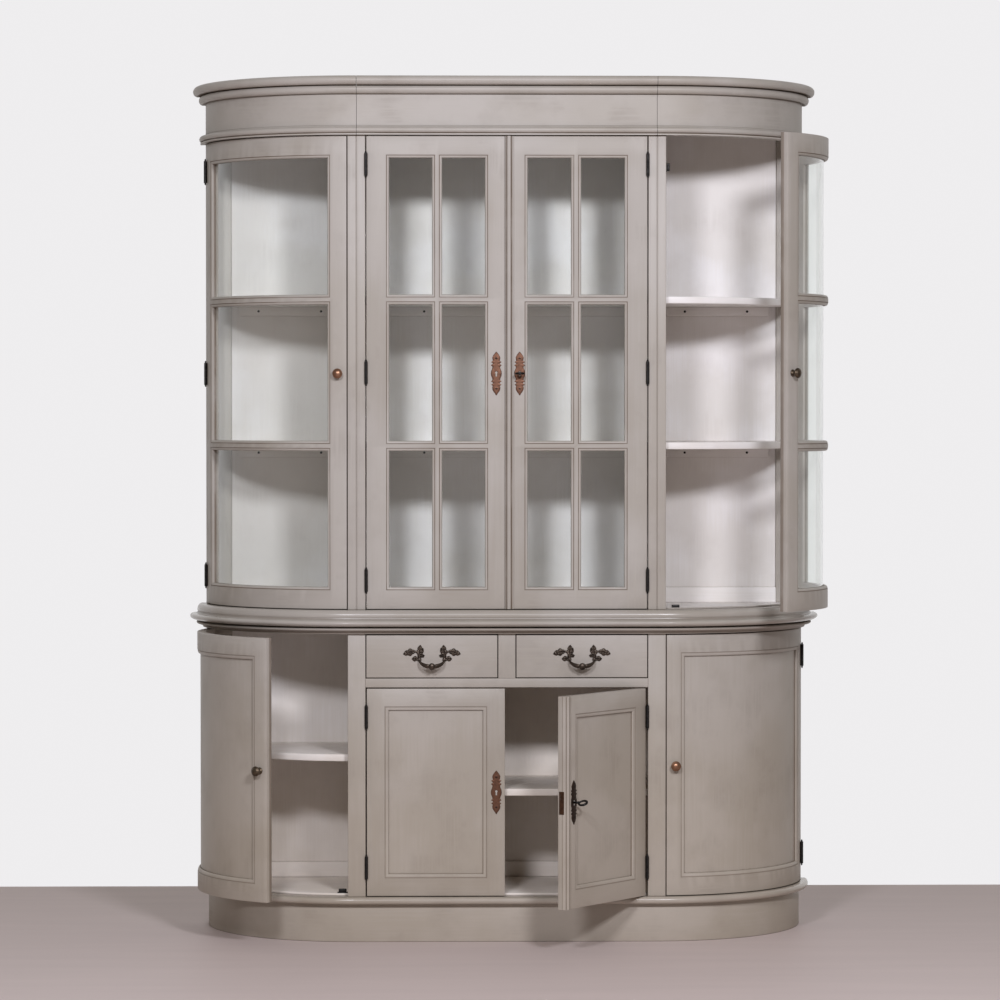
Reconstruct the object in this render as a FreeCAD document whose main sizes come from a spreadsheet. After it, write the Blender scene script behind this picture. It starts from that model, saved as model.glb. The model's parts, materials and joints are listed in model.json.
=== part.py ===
# A painted display dresser with bowed ends: a cupboard base with two drawers and a glazed hutch in three units.
# Millimetres, +Z up, the front faces -Y, and the origin is on the floor under the middle of the carcass.
import FreeCAD
import Part
import os
import re

# Driving sizes: name, value, what it measures.
SIZES = [
    ("flat_half", 383, "half the width of the flat front, out to where the bowed ends start"),
    ("end_radius", 404, "radius of the bowed ends, which is also the depth of the carcass"),
    ("plinth_height", 98, "height of the plinth"),
    ("plinth_setback", 5, "plinth face behind the face of the doors"),
    ("plinth_thick", 18, "thickness of the plinth boards"),
    ("board_thick", 18, "thickness of the base board"),
    ("board_reach", 19, "how far the nose of the base board stands out"),
    ("floor_thick", 6, "thickness of the inner floor of the base"),
    ("floor_setback", 4, "inner floor behind the back of the base doors"),
    ("base_opening", 672, "clear height between base board and cove board"),
    ("drawer_opening", 114, "clear height for the drawers"),
    ("drawer_rail", 23, "height of the rail under the drawers"),
    ("muntin_width", 44, "width of the upright between the drawers"),
    ("cove_thick", 19, "thickness of the cove board"),
    ("cove_bead", 9, "height of the bead along the top of the cove board"),
    ("cove_low_reach", 9, "how far the cove board stands out below its bead"),
    ("cove_reach", 26, "how far the bead of the cove board stands out"),
    ("waist_thick", 17, "thickness of the dresser top"),
    ("waist_reach", 43, "how far the nose of the dresser top stands out"),
    ("hutch_board", 25, "thickness of the bottom board of the hutch"),
    ("hutch_board_reach", 24, "how far the nose of the hutch's bottom board stands out"),
    ("hutch_opening", 1208, "clear height of the hutch between bottom board and frieze"),
    ("frieze_height", 104, "height of the frieze"),
    ("frieze_thick", 20, "thickness of the frieze"),
    ("frieze_bead", 20, "height of the bead along the bottom of the frieze"),
    ("frieze_reach", 17, "how far the frieze bead stands out"),
    ("roof_thick", 22, "thickness of the roof boards and height of the lower cornice roll"),
    ("ledge_reach", 18, "how far the lower cornice roll stands out"),
    ("crown_height", 23, "height of the upper cornice roll"),
    ("crown_reach", 33, "how far the upper cornice roll stands out"),
    ("crown_seat", 20, "how far the upper cornice roll lies back over the roof board"),
    ("side_panel", 21.5, "thickness of the side panels of the hutch units"),
    ("unit_gap", 2, "gap between neighbouring hutch units"),
    ("partition", 20, "thickness of the partitions in the base"),
    ("back_thick", 8, "thickness of the back panels"),
    ("back_rail", 40, "height of the rail along the bottom of each back panel"),
    ("post_leg", 45, "width of the back leg of the rear posts"),
    ("post_leg_thick", 18, "thickness of the back leg of the rear posts"),
    ("post_angle", 10, "part of the bow that the rear posts take, in degrees"),
    ("shelf_thick", 18, "thickness of the shelves"),
    ("shelf_setback", 8, "shelf edge behind the back of the doors"),
    ("end_shelf_top", 478, "height of the top of the shelves in the bowed ends of the base"),
    ("center_shelf_top", 389, "height of the top of the middle shelf of the base"),
    ("batten_height", 24, "height of the battens under the shelves"),
    ("batten_thick", 14, "thickness of the battens under the shelves"),
    ("batten_inset", 20, "batten ends inside the width of their compartment"),
    ("door_thick", 22, "thickness of the doors"),
    ("door_gap", 3, "gap round the doors and drawer fronts"),
    ("hinge_gap", 4, "gap between a door and its frame along the hinges"),
    ("meeting_line", -5, "place of the gap between the two centre doors"),
    ("meeting_gap", 2, "gap between the two centre doors"),
    ("glazed_stile", 57, "width of the stiles of the flat glazed doors"),
    ("glazed_meeting_stile", 50, "width of the left glazed centre door's stile at the meeting edge"),
    ("glazed_rail", 55, "height of the rails of the glazed doors"),
    ("glazing_bar", 26, "width of the glazing bars"),
    ("panel_stile", 58, "width of the stiles of the flat panelled doors"),
    ("panel_rail", 58, "height of the rails of the panelled doors"),
    ("bowed_stile", 51, "width of the stiles of the bowed doors, along the bow"),
    ("glass_lip", 12, "depth of the frame in front of the glass"),
    ("panel_lip", 8, "depth of the frame in front of the panels"),
    ("rebate", 6, "how far the glass or panel reaches behind the frame"),
    ("glass_thick", 4, "thickness of the glass"),
    ("panel_thick", 8, "thickness of the door panels"),
    ("infill_gap", 1, "room round the edge of a glass or panel"),
    ("seat_gap", 0.1, "room between a glass or panel and the lip in front of it"),
    ("astragal_width", 22, "width of the reeded strip on the meeting edge"),
    ("astragal_out", 5, "how far that strip stands out"),
    ("knuckle_radius", 4, "radius of the hinge barrels"),
    ("knuckle_clear", 0.3, "room between a hinge barrel and what turns past it"),
    ("pin_radius", 2, "radius of the hinge pins"),
    ("pin_clear", 0.1, "room round a hinge pin in its barrel"),
    ("hinge_height", 56, "height of a hinge"),
    ("leaf_seat", 0.2, "room beside a hinge leaf"),
    ("leaf_depth", 18, "depth of the hinge leaves along the edge of the door"),
    ("finial_height", 6, "height of the finials on the hinge pins"),
    ("finial_radius", 3.2, "radius of the finials on the hinge pins"),
    ("hinge_inset", 72, "middle of the outer hinges from the ends of the door"),
    ("knob_radius", 12.75, "radius of the door knobs"),
    ("knob_out", 24, "how far the door knobs stand out"),
    ("knob_neck", 5, "radius of the neck of the door knobs"),
    ("knob_rose", 9, "radius of the rose behind the door knobs"),
    ("knob_rose_thick", 3, "thickness of that rose"),
    ("knob_inset", 21.5, "middle of a knob from the free edge of its door"),
    ("hutch_knob_height", 1451, "height of the knobs on the hutch"),
    ("base_knob_height", 450, "height of the knobs on the base"),
    ("hutch_lock_height", 1451, "height of the locks on the hutch"),
    ("base_lock_height", 383, "height of the locks on the base"),
    ("left_plate_inset", 21, "middle of a left escutcheon from the meeting edge"),
    ("right_plate_inset", 36.5, "middle of a right escutcheon from the meeting edge"),
    ("plate_height", 111, "height of the escutcheons"),
    ("plate_width", 28, "width of the escutcheons"),
    ("plate_stem", 13, "width of the escutcheons above and below their middle"),
    ("plate_thick", 2, "thickness of the escutcheons"),
    ("keyhole_radius", 3.2, "radius of the keyholes"),
    ("key_radius", 2.6, "radius of the shank of a key"),
    ("key_out", 41, "how far a key stands out of the door"),
    ("key_in", 14, "how far a key reaches into the door"),
    ("key_bow", 10.5, "radius of the middle of the ring of a key"),
    ("key_bow_thick", 3, "radius of the bar of that ring"),
    ("key_bit", 4.6, "reach of the bit of a key from its axis"),
    ("key_bit_length", 6, "length of the bit along the key"),
    ("key_bit_thick", 2, "thickness of the bit of a key"),
    ("lock_height", 56, "height of a lock case"),
    ("lock_thick", 12, "thickness of a lock case"),
    ("lock_setback", 5, "lock case behind the face of the door"),
    ("lock_past_key", 6.5, "how far a lock case reaches past the axis of its key"),
    ("lock_clear", 0.2, "room round a lock case in its mortise"),
    ("bolt_height", 14, "height of a lock bolt"),
    ("bolt_thick", 6, "thickness of a lock bolt"),
    ("bolt_length", 22, "length of a lock bolt"),
    ("bolt_rise", 16, "middle of the bolt above the key"),
    ("bolt_throw", 8, "travel of a lock bolt"),
    ("bolt_clear", 0.3, "room round a lock bolt"),
    ("drawer_front", 20, "thickness of the drawer fronts"),
    ("drawer_side", 12, "thickness of the sides and backs of the drawers"),
    ("drawer_depth", 330, "depth of the drawer boxes behind their fronts"),
    ("drawer_side_height", 92, "height of the sides of the drawers"),
    ("drawer_clear", 2.5, "room beside the drawer boxes"),
    ("drawer_seat", 0.3, "room between a drawer box and its bearer"),
    ("drawer_bottom", 6, "thickness of the bottoms of the drawers"),
    ("drawer_bottom_rise", 9, "underside of a drawer's bottom above the edge of its sides"),
    ("bearer_thick", 16, "thickness of the board that carries the drawers"),
    ("guide_height", 30, "height of the guides beside the drawers"),
    ("pull_half", 32, "half the distance between the posts of a drawer pull"),
    ("pull_out", 5, "length of the posts of a drawer pull"),
    ("pull_lean", 60, "lean of the bail of a drawer pull, out from hanging straight down, in degrees"),
    ("pull_bar", 3.5, "radius of the bail of a drawer pull"),
    ("pull_knuckle", 7.5, "radius of the knuckle in the middle of the bail"),
    ("pull_knuckle_half", 6, "half the length of that knuckle"),
    ("pull_drop", 9, "posts of a drawer pull below the middle of the drawer front"),
    ("pull_barrel", 4.6, "radius and half the length of the barrels at the ends of the bail"),
    ("side_leaf", 16, "half the length of the outward leaf of a drawer pull"),
    ("side_leaf_wide", 9.5, "half the width of that leaf"),
    ("side_leaf_angle", -6, "lean of that leaf from level, in degrees"),
    ("side_leaf_out", 22.5, "middle of that leaf outward from the post"),
    ("side_leaf_up", 19.5, "middle of that leaf above the post"),
    ("top_leaf", 20, "half the length of the upright leaf of a drawer pull"),
    ("top_leaf_wide", 9.2, "half the width of that leaf"),
    ("top_leaf_angle", 87, "lean of that leaf from level, in degrees"),
    ("top_leaf_out", 1.5, "middle of that leaf outward from the post"),
    ("top_leaf_up", 20.5, "middle of that leaf above the post"),
    ("low_leaf", 10, "half the length of the lower leaf of a drawer pull"),
    ("low_leaf_wide", 7.4, "half the width of that leaf"),
    ("low_leaf_angle", 4, "lean of that leaf from level, in degrees"),
    ("low_leaf_out", 9.5, "middle of that leaf outward from the post"),
    ("low_leaf_up", 3, "middle of that leaf above the post"),
    ("leaf_thick", 4.2, "thickness of those leaves"),
    ("catch_length", 26, "length of the door catches"),
    ("catch_height", 11, "height of the door catches"),
    ("catch_depth", 14, "depth of the door catches"),
    ("catch_inset", 90, "upper catches below the top of their door"),
    ("hutch_right_end_angle", 39, "how far the hutch's right end door stands open, in degrees"),
    ("base_left_end_angle", 28, "how far the base's left end door stands open, in degrees"),
    ("base_center_right_angle", 53.5, "how far the base's right centre door stands open, in degrees"),
]

# Places worked out from those sizes.
PLACES = {
    "y_front": "-end_radius / 2",
    "y_back": "end_radius / 2",
    "y_door_back": "y_front + door_thick",
    "y_inside_back": "y_back - back_thick",
    "board_top": "plinth_height + board_thick",
    "floor_top": "board_top + floor_thick",
    "base_top": "board_top + base_opening",
    "drawer_floor": "base_top - drawer_opening",
    "rail_low": "drawer_floor - drawer_rail",
    "cove_top": "base_top + cove_thick",
    "waist_top": "cove_top + waist_thick",
    "hutch_floor": "waist_top + hutch_board",
    "frieze_low": "hutch_floor + hutch_opening",
    "frieze_top": "frieze_low + frieze_height",
    "roof_top": "frieze_top + roof_thick",
    "crown_top": "roof_top + crown_height",
    "center_out": "flat_half - unit_gap / 2",
    "center_in": "center_out - side_panel",
    "end_in": "flat_half + unit_gap / 2",
    "end_out": "end_in + side_panel",
    "partition_in": "flat_half - partition / 2",
    "partition_out": "flat_half + partition / 2",
    "muntin_half": "muntin_width / 2",
    "bow_inside": "end_radius - door_thick",
    "post_in": "flat_half + bow_inside - post_leg",
    "shelf_radius": "bow_inside - shelf_setback",
    "flat_edge": "center_in - hinge_gap",
    "left_meeting": "meeting_line - meeting_gap / 2",
    "right_meeting": "meeting_line + meeting_gap / 2",
    "hinge_out": "knuckle_radius + knuckle_clear",
    "degrees_per_mm": "180 / pi / end_radius",
    "hinge_angle": "post_angle + hinge_gap / 2 * degrees_per_mm",
    "rear_angle": "post_angle + hinge_gap * degrees_per_mm",
    "free_angle": "acos((end_out + door_gap - flat_half) / end_radius) / 1 deg",
    "stile_angle": "bowed_stile * degrees_per_mm",
    "rebate_angle": "rebate * degrees_per_mm",
    "infill_angle": "infill_gap * degrees_per_mm",
    "knob_angle": "free_angle - knob_inset * degrees_per_mm",
    "hutch_low": "hutch_floor + door_gap",
    "hutch_high": "frieze_low - door_gap",
    "base_low": "board_top + door_gap",
    "base_flat_high": "rail_low - door_gap",
    "base_bowed_high": "base_top - door_gap",
    "pane_height": "(hutch_high - hutch_low - 2 * glazed_rail - 2 * glazing_bar) / 3",
    "low_bar": "hutch_low + glazed_rail + pane_height",
    "high_bar": "low_bar + glazing_bar + pane_height",
    "third": "hinge_height / 6",
    "drawer_low": "drawer_floor + door_gap",
    "drawer_high": "base_top - door_gap",
    "drawer_in": "muntin_half + door_gap",
    "drawer_out": "center_in - door_gap",
    "drawer_middle": "(drawer_in + drawer_out) / 2",
    "pull_height": "(drawer_low + drawer_high) / 2 - pull_drop",
}

doc = FreeCAD.newDocument("bow_ended_dresser")
dims = doc.addObject("Spreadsheet::Sheet", "dims")
cells = set()
for row, (alias, value, note) in enumerate(SIZES, start=1):
    dims.set(f"A{row}", note)
    dims.set(f"B{row}", str(value))
    dims.setAlias(f"B{row}", alias)
    cells.add(alias)
doc.recompute()

sub_parts = []
WHOLE_BOW = ("0", "90")


def formula(text):
    # Spells a formula out in spreadsheet cells.
    def spell(match):
        word = match.group()
        if word in PLACES:
            return "(" + formula(PLACES[word]) + ")"
        return "dims." + word if word in cells else word

    return re.sub(r"[a-z][a-z_]*", spell, text)


def bind(item, prop, text):
    item.setExpression(prop, formula(text))


def place(item, x="0", y="0", z="0"):
    for axis, text in zip("xyz", (x, y, z)):
        bind(item, f"Placement.Base.{axis}", text)


def flip(span, side):
    # A span of X on the right, or its mirror image on the left.
    low, high = span
    return (low, high) if side > 0 else (f"-({high})", f"-({low})")


def box(x, y, z):
    item = doc.addObject("Part::Box", "block")
    for prop, (low, high) in zip(("Length", "Width", "Height"), (x, y, z)):
        bind(item, prop, f"({high}) - ({low})")
    place(item, x[0], y[0], z[0])
    return item


def post(radius, x, y, z):
    # An upright round bar.
    item = doc.addObject("Part::Cylinder", "post")
    bind(item, "Radius", radius)
    bind(item, "Height", f"({z[1]}) - ({z[0]})")
    place(item, x, y, z[0])
    return item


def turned(axis):
    # A quarter turn about an axis.
    return FreeCAD.Placement(FreeCAD.Vector(), FreeCAD.Rotation(FreeCAD.Vector(*axis), 90))


def rod(radius, along, x, y, z):
    # A level round bar: one of its three places is a span, and it runs along that axis.
    item = doc.addObject("Part::Cylinder", "rod")
    item.Placement = turned((0, 1, 0) if along == "x" else (-1, 0, 0))
    low, high = x if along == "x" else y
    bind(item, "Radius", radius)
    bind(item, "Height", f"({high}) - ({low})")
    place(item, low if along == "x" else x, low if along == "y" else y, z)
    return item


def bow_turn(side, angles):
    # Angles on a bow run from its back end round to the front.
    return f"-({angles[1]})" if side > 0 else f"180 + ({angles[0]})"


def bow_sector(side, radius, z, angles=WHOLE_BOW):
    item = post(radius, f"{side} * flat_half", "y_back", z)
    bind(item, "Angle", f"({angles[1]}) - ({angles[0]})")
    bind(item, "Placement.Rotation.Angle", bow_turn(side, angles))
    return item


def bow_bead(side, radius, bead, z):
    item = doc.addObject("Part::Torus", "bead")
    bind(item, "Radius1", radius)
    bind(item, "Radius2", bead)
    bind(item, "Angle3", WHOLE_BOW[1])
    place(item, f"{side} * flat_half", "y_back", z)
    bind(item, "Placement.Rotation.Angle", bow_turn(side, WHOLE_BOW))
    return item


def fuse(*items):
    item = doc.addObject("Part::MultiFuse", "joined")
    item.Shapes = list(items)
    item.Refine = True
    return item


def cut(base, tool):
    item = doc.addObject("Part::Cut", "trimmed")
    item.Base = base
    item.Tool = tool
    return item


def bow_strip(side, outer, inner, z, angles=WHOLE_BOW):
    # A curved strip between two radii of a bowed end.
    return cut(bow_sector(side, outer, z, angles), bow_sector(side, inner, z, angles))


def sub_part(label, *pieces):
    item = doc.addObject("Part::Compound", label)
    item.Links = list(pieces)
    item.Label = label
    sub_parts.append(item)
    return item


def plan_board(reach, z):
    # A board with the plan of the whole dresser: a flat front and two bowed ends.
    radius = f"end_radius + ({reach})"
    middle = box(("-flat_half", "flat_half"), (f"y_back - ({radius})", "y_back"), z)
    return fuse(middle, bow_sector(-1, radius, z), bow_sector(1, radius, z))


def nosed_board(reach, z):
    # The same board with a half-round nose along its edge.
    nose = f"(({z[1]}) - ({z[0]})) / 2"
    middle = f"(({z[1]}) + ({z[0]})) / 2"
    inner = f"({reach}) - ({nose})"
    radius = f"end_radius + ({inner})"
    front = rod(nose, "x", ("-flat_half", "flat_half"), f"y_back - ({radius})", middle)
    ends = [bow_bead(side, radius, nose, middle) for side in (-1, 1)]
    return fuse(plan_board(inner, z), front, *ends)


def build_plinth():
    z = ("0", "plinth_height")
    inner = "-plinth_setback - plinth_thick"
    shell = cut(plan_board("-plinth_setback", z), plan_board(inner, z))
    width = f"flat_half + end_radius + {inner}"
    back = box((f"-({width})", width), ("y_back - plinth_thick", "y_back"), z)
    stretcher_y = ("y_front + plinth_setback", "y_back")
    stretcher = box(("-plinth_thick / 2", "plinth_thick / 2"), stretcher_y, z)
    sub_part("plinth", fuse(shell, back, stretcher))


def build_base_board():
    board = nosed_board("board_reach", ("plinth_height", "board_top"))
    z = ("board_top", "floor_top")
    floor = plan_board("-door_thick - floor_setback", z)
    width = "flat_half + end_radius"
    behind = box((f"-({width})", width), ("y_back - post_leg_thick", "y_back"), z)
    sub_part("base_board", board, cut(floor, behind))


def build_base_partitions():
    y = ("y_door_back", "y_inside_back")
    z = ("floor_top", "base_top")
    sides = [box(flip(("partition_in", "partition_out"), side), y, z) for side in (-1, 1)]
    sub_part("base_partitions", *sides)


def build_base_face_frame():
    y = ("y_front", "y_door_back")
    stiles = [box(flip(("center_in", "end_out"), side), y, ("board_top", "base_top")) for side in (-1, 1)]
    rail = box(("-center_in", "center_in"), y, ("rail_low", "drawer_floor"))
    muntin = box(("-muntin_half", "muntin_half"), y, ("drawer_floor", "base_top"))
    sub_part("base_face_frame", *stiles, rail, muntin)


def build_drawer_runners():
    y = ("y_door_back", "y_back - post_leg_thick")
    low = "drawer_floor - bearer_thick"
    bearer = box(("-partition_in", "partition_in"), y, (low, "drawer_floor"))
    z = ("drawer_floor", "drawer_floor + guide_height")
    guides = [box(flip(("center_in", "partition_in"), side), y, z) for side in (-1, 1)]
    middle = box(("-muntin_half", "muntin_half"), y, z)
    sub_part("drawer_runners", bearer, *guides, middle)


def rear_post(side, z, leg_high):
    curve = bow_strip(side, "end_radius", "bow_inside", z, ("0", "post_angle"))
    x = flip(("post_in", "flat_half + bow_inside"), side)
    leg = box(x, ("y_back - post_leg_thick", "y_back"), (z[0], leg_high))
    return fuse(curve, leg)


def build_rear_posts():
    posts = []
    for side in (-1, 1):
        posts.append(rear_post(side, ("board_top", "base_top"), "base_top"))
        posts.append(rear_post(side, ("hutch_floor", "frieze_low"), "frieze_top"))
    sub_part("rear_posts", *posts)


def build_back_panels():
    y = ("y_inside_back", "y_back")
    rail_y = ("y_back - post_leg_thick", "y_inside_back")
    base_z = ("board_top", "base_top")
    hutch_z = ("hutch_floor", "frieze_top")
    ends = ("end_in", "post_in")
    base_rail = ("floor_top", "floor_top + back_rail")
    hutch_rail = ("hutch_floor", "hutch_floor + back_rail")
    pieces = [box(("-post_in", "post_in"), y, base_z), box(("-center_out", "center_out"), y, hutch_z)]
    pieces.append(box(("-partition_in", "partition_in"), rail_y, base_rail))
    pieces.append(box(("-center_in", "center_in"), rail_y, hutch_rail))
    for side in (-1, 1):
        pieces.append(box(flip(ends, side), y, hutch_z))
        pieces.append(box(flip(("partition_out", "post_in"), side), rail_y, base_rail))
        pieces.append(box(flip(("end_out", "post_in"), side), rail_y, hutch_rail))
    sub_part("back_panels", *pieces)


def end_shelf(side, inner, top):
    # A quarter-round shelf, notched round the leg of the rear post.
    z = (f"{top} - shelf_thick", top)
    quarter = bow_sector(side, "shelf_radius", z)
    beside = box(flip(("0", inner), side), ("y_front", "y_back"), z)
    width = "flat_half + end_radius"
    behind = box(flip((inner, width), side), ("y_inside_back", "y_back"), z)
    leg_y = ("y_back - post_leg_thick - infill_gap", "y_back")
    leg = box(flip(("post_in - infill_gap", width), side), leg_y, z)
    return cut(quarter, fuse(beside, behind, leg))


def hutch_shelf_tops():
    return [f"{bar} + glazing_bar / 2 + shelf_thick / 2" for bar in ("low_bar", "high_bar")]


def build_shelves():
    y = ("y_door_back + shelf_setback", "y_inside_back")
    middle_z = ("center_shelf_top - shelf_thick", "center_shelf_top")
    shelves = [box(("-partition_in", "partition_in"), y, middle_z)]
    for top in hutch_shelf_tops():
        shelves.append(box(("-center_in", "center_in"), y, (f"{top} - shelf_thick", top)))
    for side in (-1, 1):
        shelves.append(end_shelf(side, "partition_out", "end_shelf_top"))
        shelves += [end_shelf(side, "end_out", top) for top in hutch_shelf_tops()]
    sub_part("shelves", *shelves)


def build_shelf_battens():
    y = ("y_inside_back - batten_thick", "y_inside_back")

    def batten(left, right, top, side=1):
        x = flip((f"{left} + batten_inset", f"{right} - batten_inset"), side)
        return box(x, y, (f"{top} - shelf_thick - batten_height", f"{top} - shelf_thick"))

    pieces = [batten("-partition_in", "partition_in", "center_shelf_top")]
    for top in hutch_shelf_tops():
        pieces.append(batten("-center_in", "center_in", top))
    for side in (-1, 1):
        pieces.append(batten("partition_out", "post_in", "end_shelf_top", side))
        for top in hutch_shelf_tops():
            pieces.append(batten("end_out", "post_in", top, side))
    sub_part("shelf_battens", *pieces)


def build_waist():
    bead_low = "cove_top - cove_bead"
    cove = plan_board("cove_low_reach", ("base_top", bead_low))
    bead = nosed_board("cove_reach", (bead_low, "cove_top"))
    sub_part("dresser_top", fuse(cove, bead), nosed_board("waist_reach", ("cove_top", "waist_top")))
    sub_part("hutch_bottom_board", nosed_board("hutch_board_reach", ("waist_top", "hutch_floor")))


def build_hutch_side_panels():
    y = ("y_front", "y_inside_back")
    z = ("hutch_floor", "frieze_top")
    notch_y = ("y_front", "y_front + frieze_thick + infill_gap")
    panels = []
    for side in (-1, 1):
        for span in (("center_in", "center_out"), ("end_in", "end_out")):
            notch = box(flip(span, side), notch_y, ("frieze_low", "frieze_top"))
            panels.append(cut(box(flip(span, side), y, z), notch))
    sub_part("hutch_side_panels", *panels)


def straight_roll(reach, z, back):
    # A roll along the flat front: half-round in front, flat behind.
    nose = f"(({z[1]}) - ({z[0]})) / 2"
    x = ("-center_out", "center_out")
    y = f"y_front - ({reach}) + ({nose})"
    roll = rod(nose, "x", x, y, f"(({z[1]}) + ({z[0]})) / 2")
    behind = box(x, (back, f"{back} + 2 * ({nose})"), z)
    return fuse(box(x, (y, back), z), cut(roll, behind))


def bowed_roll(side, reach, z, inner):
    # The same roll round a bowed end.
    nose = f"(({z[1]}) - ({z[0]})) / 2"
    radius = f"end_radius + ({reach}) - ({nose})"
    bead = bow_bead(side, radius, nose, f"(({z[1]}) + ({z[0]})) / 2")
    return cut(fuse(bow_sector(side, radius, z), bead), bow_sector(side, inner, z))


def build_frieze():
    z = ("frieze_low", "frieze_top")
    bead_z = ("frieze_low", "frieze_low + frieze_bead")
    board = box(("-center_out", "center_out"), ("y_front", "y_front + frieze_thick"), z)
    pieces = [fuse(board, straight_roll("frieze_reach", bead_z, "y_front"))]
    for side in (-1, 1):
        inner = "end_radius - frieze_thick"
        curve = bow_strip(side, "end_radius", inner, z)
        pieces.append(fuse(curve, bowed_roll(side, "frieze_reach", bead_z, inner)))
    sub_part("frieze", *pieces)


def build_roof_and_cornice():
    z = ("frieze_top", "roof_top")
    crown_z = ("roof_top", "crown_top")
    roofs = [box(("-center_out", "center_out"), ("y_front", "y_back"), z)]
    roofs += [bow_sector(side, "end_radius", z) for side in (-1, 1)]
    sub_part("hutch_roof_boards", *roofs)
    low = straight_roll("ledge_reach", z, "y_front")
    high = straight_roll("crown_reach", crown_z, "y_front + crown_seat")
    rolls = [fuse(low, high)]
    for side in (-1, 1):
        low = bowed_roll(side, "ledge_reach", z, "end_radius")
        rolls.append(fuse(low, bowed_roll(side, "crown_reach", crown_z, "end_radius - crown_seat")))
    sub_part("cornice", *rolls)


# The doors: name, side of the dresser, bowed or flat, glazed or panelled, how far it stands open,
# the heights of its hinges and the height of its knob or lock.
THREE_HINGES = ("hutch_low + hinge_inset", "(hutch_low + hutch_high) / 2", "hutch_high - hinge_inset")
FLAT_HINGES = ("base_low + hinge_inset", "base_flat_high - hinge_inset")
BOWED_HINGES = ("base_low + hinge_inset", "base_bowed_high - hinge_inset")
DOORS = [
    ("hutch_left_end_door", -1, True, True, "0", THREE_HINGES, "hutch_knob_height"),
    ("hutch_center_left_door", -1, False, True, "0", THREE_HINGES, "hutch_lock_height"),
    ("hutch_center_right_door", 1, False, True, "0", THREE_HINGES, "hutch_lock_height"),
    ("hutch_right_end_door", 1, True, True, "hutch_right_end_angle", THREE_HINGES, "hutch_knob_height"),
    ("base_left_end_door", -1, True, False, "base_left_end_angle", BOWED_HINGES, "base_knob_height"),
    ("base_center_left_door", -1, False, False, "0", FLAT_HINGES, "base_lock_height"),
    ("base_center_right_door", 1, False, False, "base_center_right_angle", FLAT_HINGES, "base_lock_height"),
    ("base_right_end_door", 1, True, False, "0", BOWED_HINGES, "base_knob_height"),
]


def hinge_axis(side, bowed):
    # Place of the hinge pins, and how far the hinges are turned from facing straight forward.
    if not bowed:
        return f"{side} * (center_in - hinge_gap / 2)", "y_front - hinge_out", "0"
    reach = "(end_radius + hinge_out)"
    x = f"{side} * (flat_half + {reach} * cos(hinge_angle))"
    return x, f"y_back - {reach} * sin(hinge_angle)", f"{side} * (90 - hinge_angle)"


def swing(item, side, bowed, angle):
    # Turns a door's piece about the hinge pins, outwards by the angle at which the door stands open.
    if angle == "0":
        return
    x, y, _ = hinge_axis(side, bowed)
    sine, cosine = f"sin({side} * {angle})", f"cos({side} * {angle})"
    bind(item, "Placement.Rotation.Angle", f"{side} * {angle}")
    place(item, f"{x} - ({x}) * {cosine} + ({y}) * {sine}", f"{y} - ({x}) * {sine} - ({y}) * {cosine}")


def door_heights(bowed, glazed):
    if glazed:
        return "hutch_low", "hutch_high"
    return "base_low", "base_bowed_high" if bowed else "base_flat_high"


def door_bars(glazed):
    # Heights of the bars across a door.
    return [(bar, f"{bar} + glazing_bar") for bar in ("low_bar", "high_bar")] if glazed else []


def flat_span(side):
    # A flat door from its meeting edge to its hinge edge.
    return ("right_meeting", "flat_edge") if side > 0 else ("-flat_edge", "left_meeting")


def flat_clear(side, glazed):
    # The clear width between the stiles of a flat door.
    stile = "glazed_stile" if glazed else "panel_stile"
    meeting = "glazed_meeting_stile" if glazed and side < 0 else stile
    left, right = flat_span(side)
    return (f"{left} + {stile}", f"{right} - {meeting}")


def flat_frame(side, glazed, lock_height):
    low, high = door_heights(False, glazed)
    rail, lip = ("glazed_rail", "glass_lip") if glazed else ("panel_rail", "panel_lip")
    y = ("y_front", "y_door_back")
    left, right = flat_span(side)
    inner = flat_clear(side, glazed)
    clear = (f"{low} + {rail}", f"{high} - {rail}")
    rebate = box(
        (f"{inner[0]} - rebate", f"{inner[1]} + rebate"),
        (f"y_front + {lip}", "y_door_back"),
        (f"{clear[0]} - rebate", f"{clear[1]} + rebate"),
    )
    left_stile = cut(box((left, inner[0]), y, (low, high)), rebate)
    right_stile = cut(box((inner[1], right), y, (low, high)), rebate)
    if side > 0:
        left_stile = cut(left_stile, lock_mortise(lock_height))
    else:
        right_stile = cut(right_stile, bolt_pocket(lock_height))
    rails = [cut(box(inner, y, z), rebate) for z in ((low, clear[0]), (clear[1], high))]
    bars = [box(inner, ("y_front", f"y_front + {lip}"), z) for z in door_bars(glazed)]
    if glazed:
        middle = f"({inner[0]} + {inner[1]}) / 2"
        across = (f"{middle} - glazing_bar / 2", f"{middle} + glazing_bar / 2")
        steps = [clear[0]] + [edge for bar in door_bars(glazed) for edge in bar] + [clear[1]]
        for pane in zip(steps[0::2], steps[1::2]):
            bars.append(box(across, ("y_front", f"y_front + {lip}"), pane))
    if side > 0:
        strip = (left, f"{left} + astragal_width")
        bars.append(box(strip, ("y_front - astragal_out", "y_front"), (low, high)))
    return [left_stile, right_stile] + rails + bars


def flat_infill(side, glazed):
    low, high = door_heights(False, glazed)
    rail = "glazed_rail" if glazed else "panel_rail"
    lip, thick = ("glass_lip", "glass_thick") if glazed else ("panel_lip", "panel_thick")
    left, right = flat_clear(side, glazed)
    behind = "(rebate - infill_gap)"
    front = f"y_front + {lip} + seat_gap"
    z = (f"{low} + {rail} - {behind}", f"{high} - {rail} + {behind}")
    return box((f"{left} - {behind}", f"{right} + {behind}"), (front, f"{front} + {thick}"), z)


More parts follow.
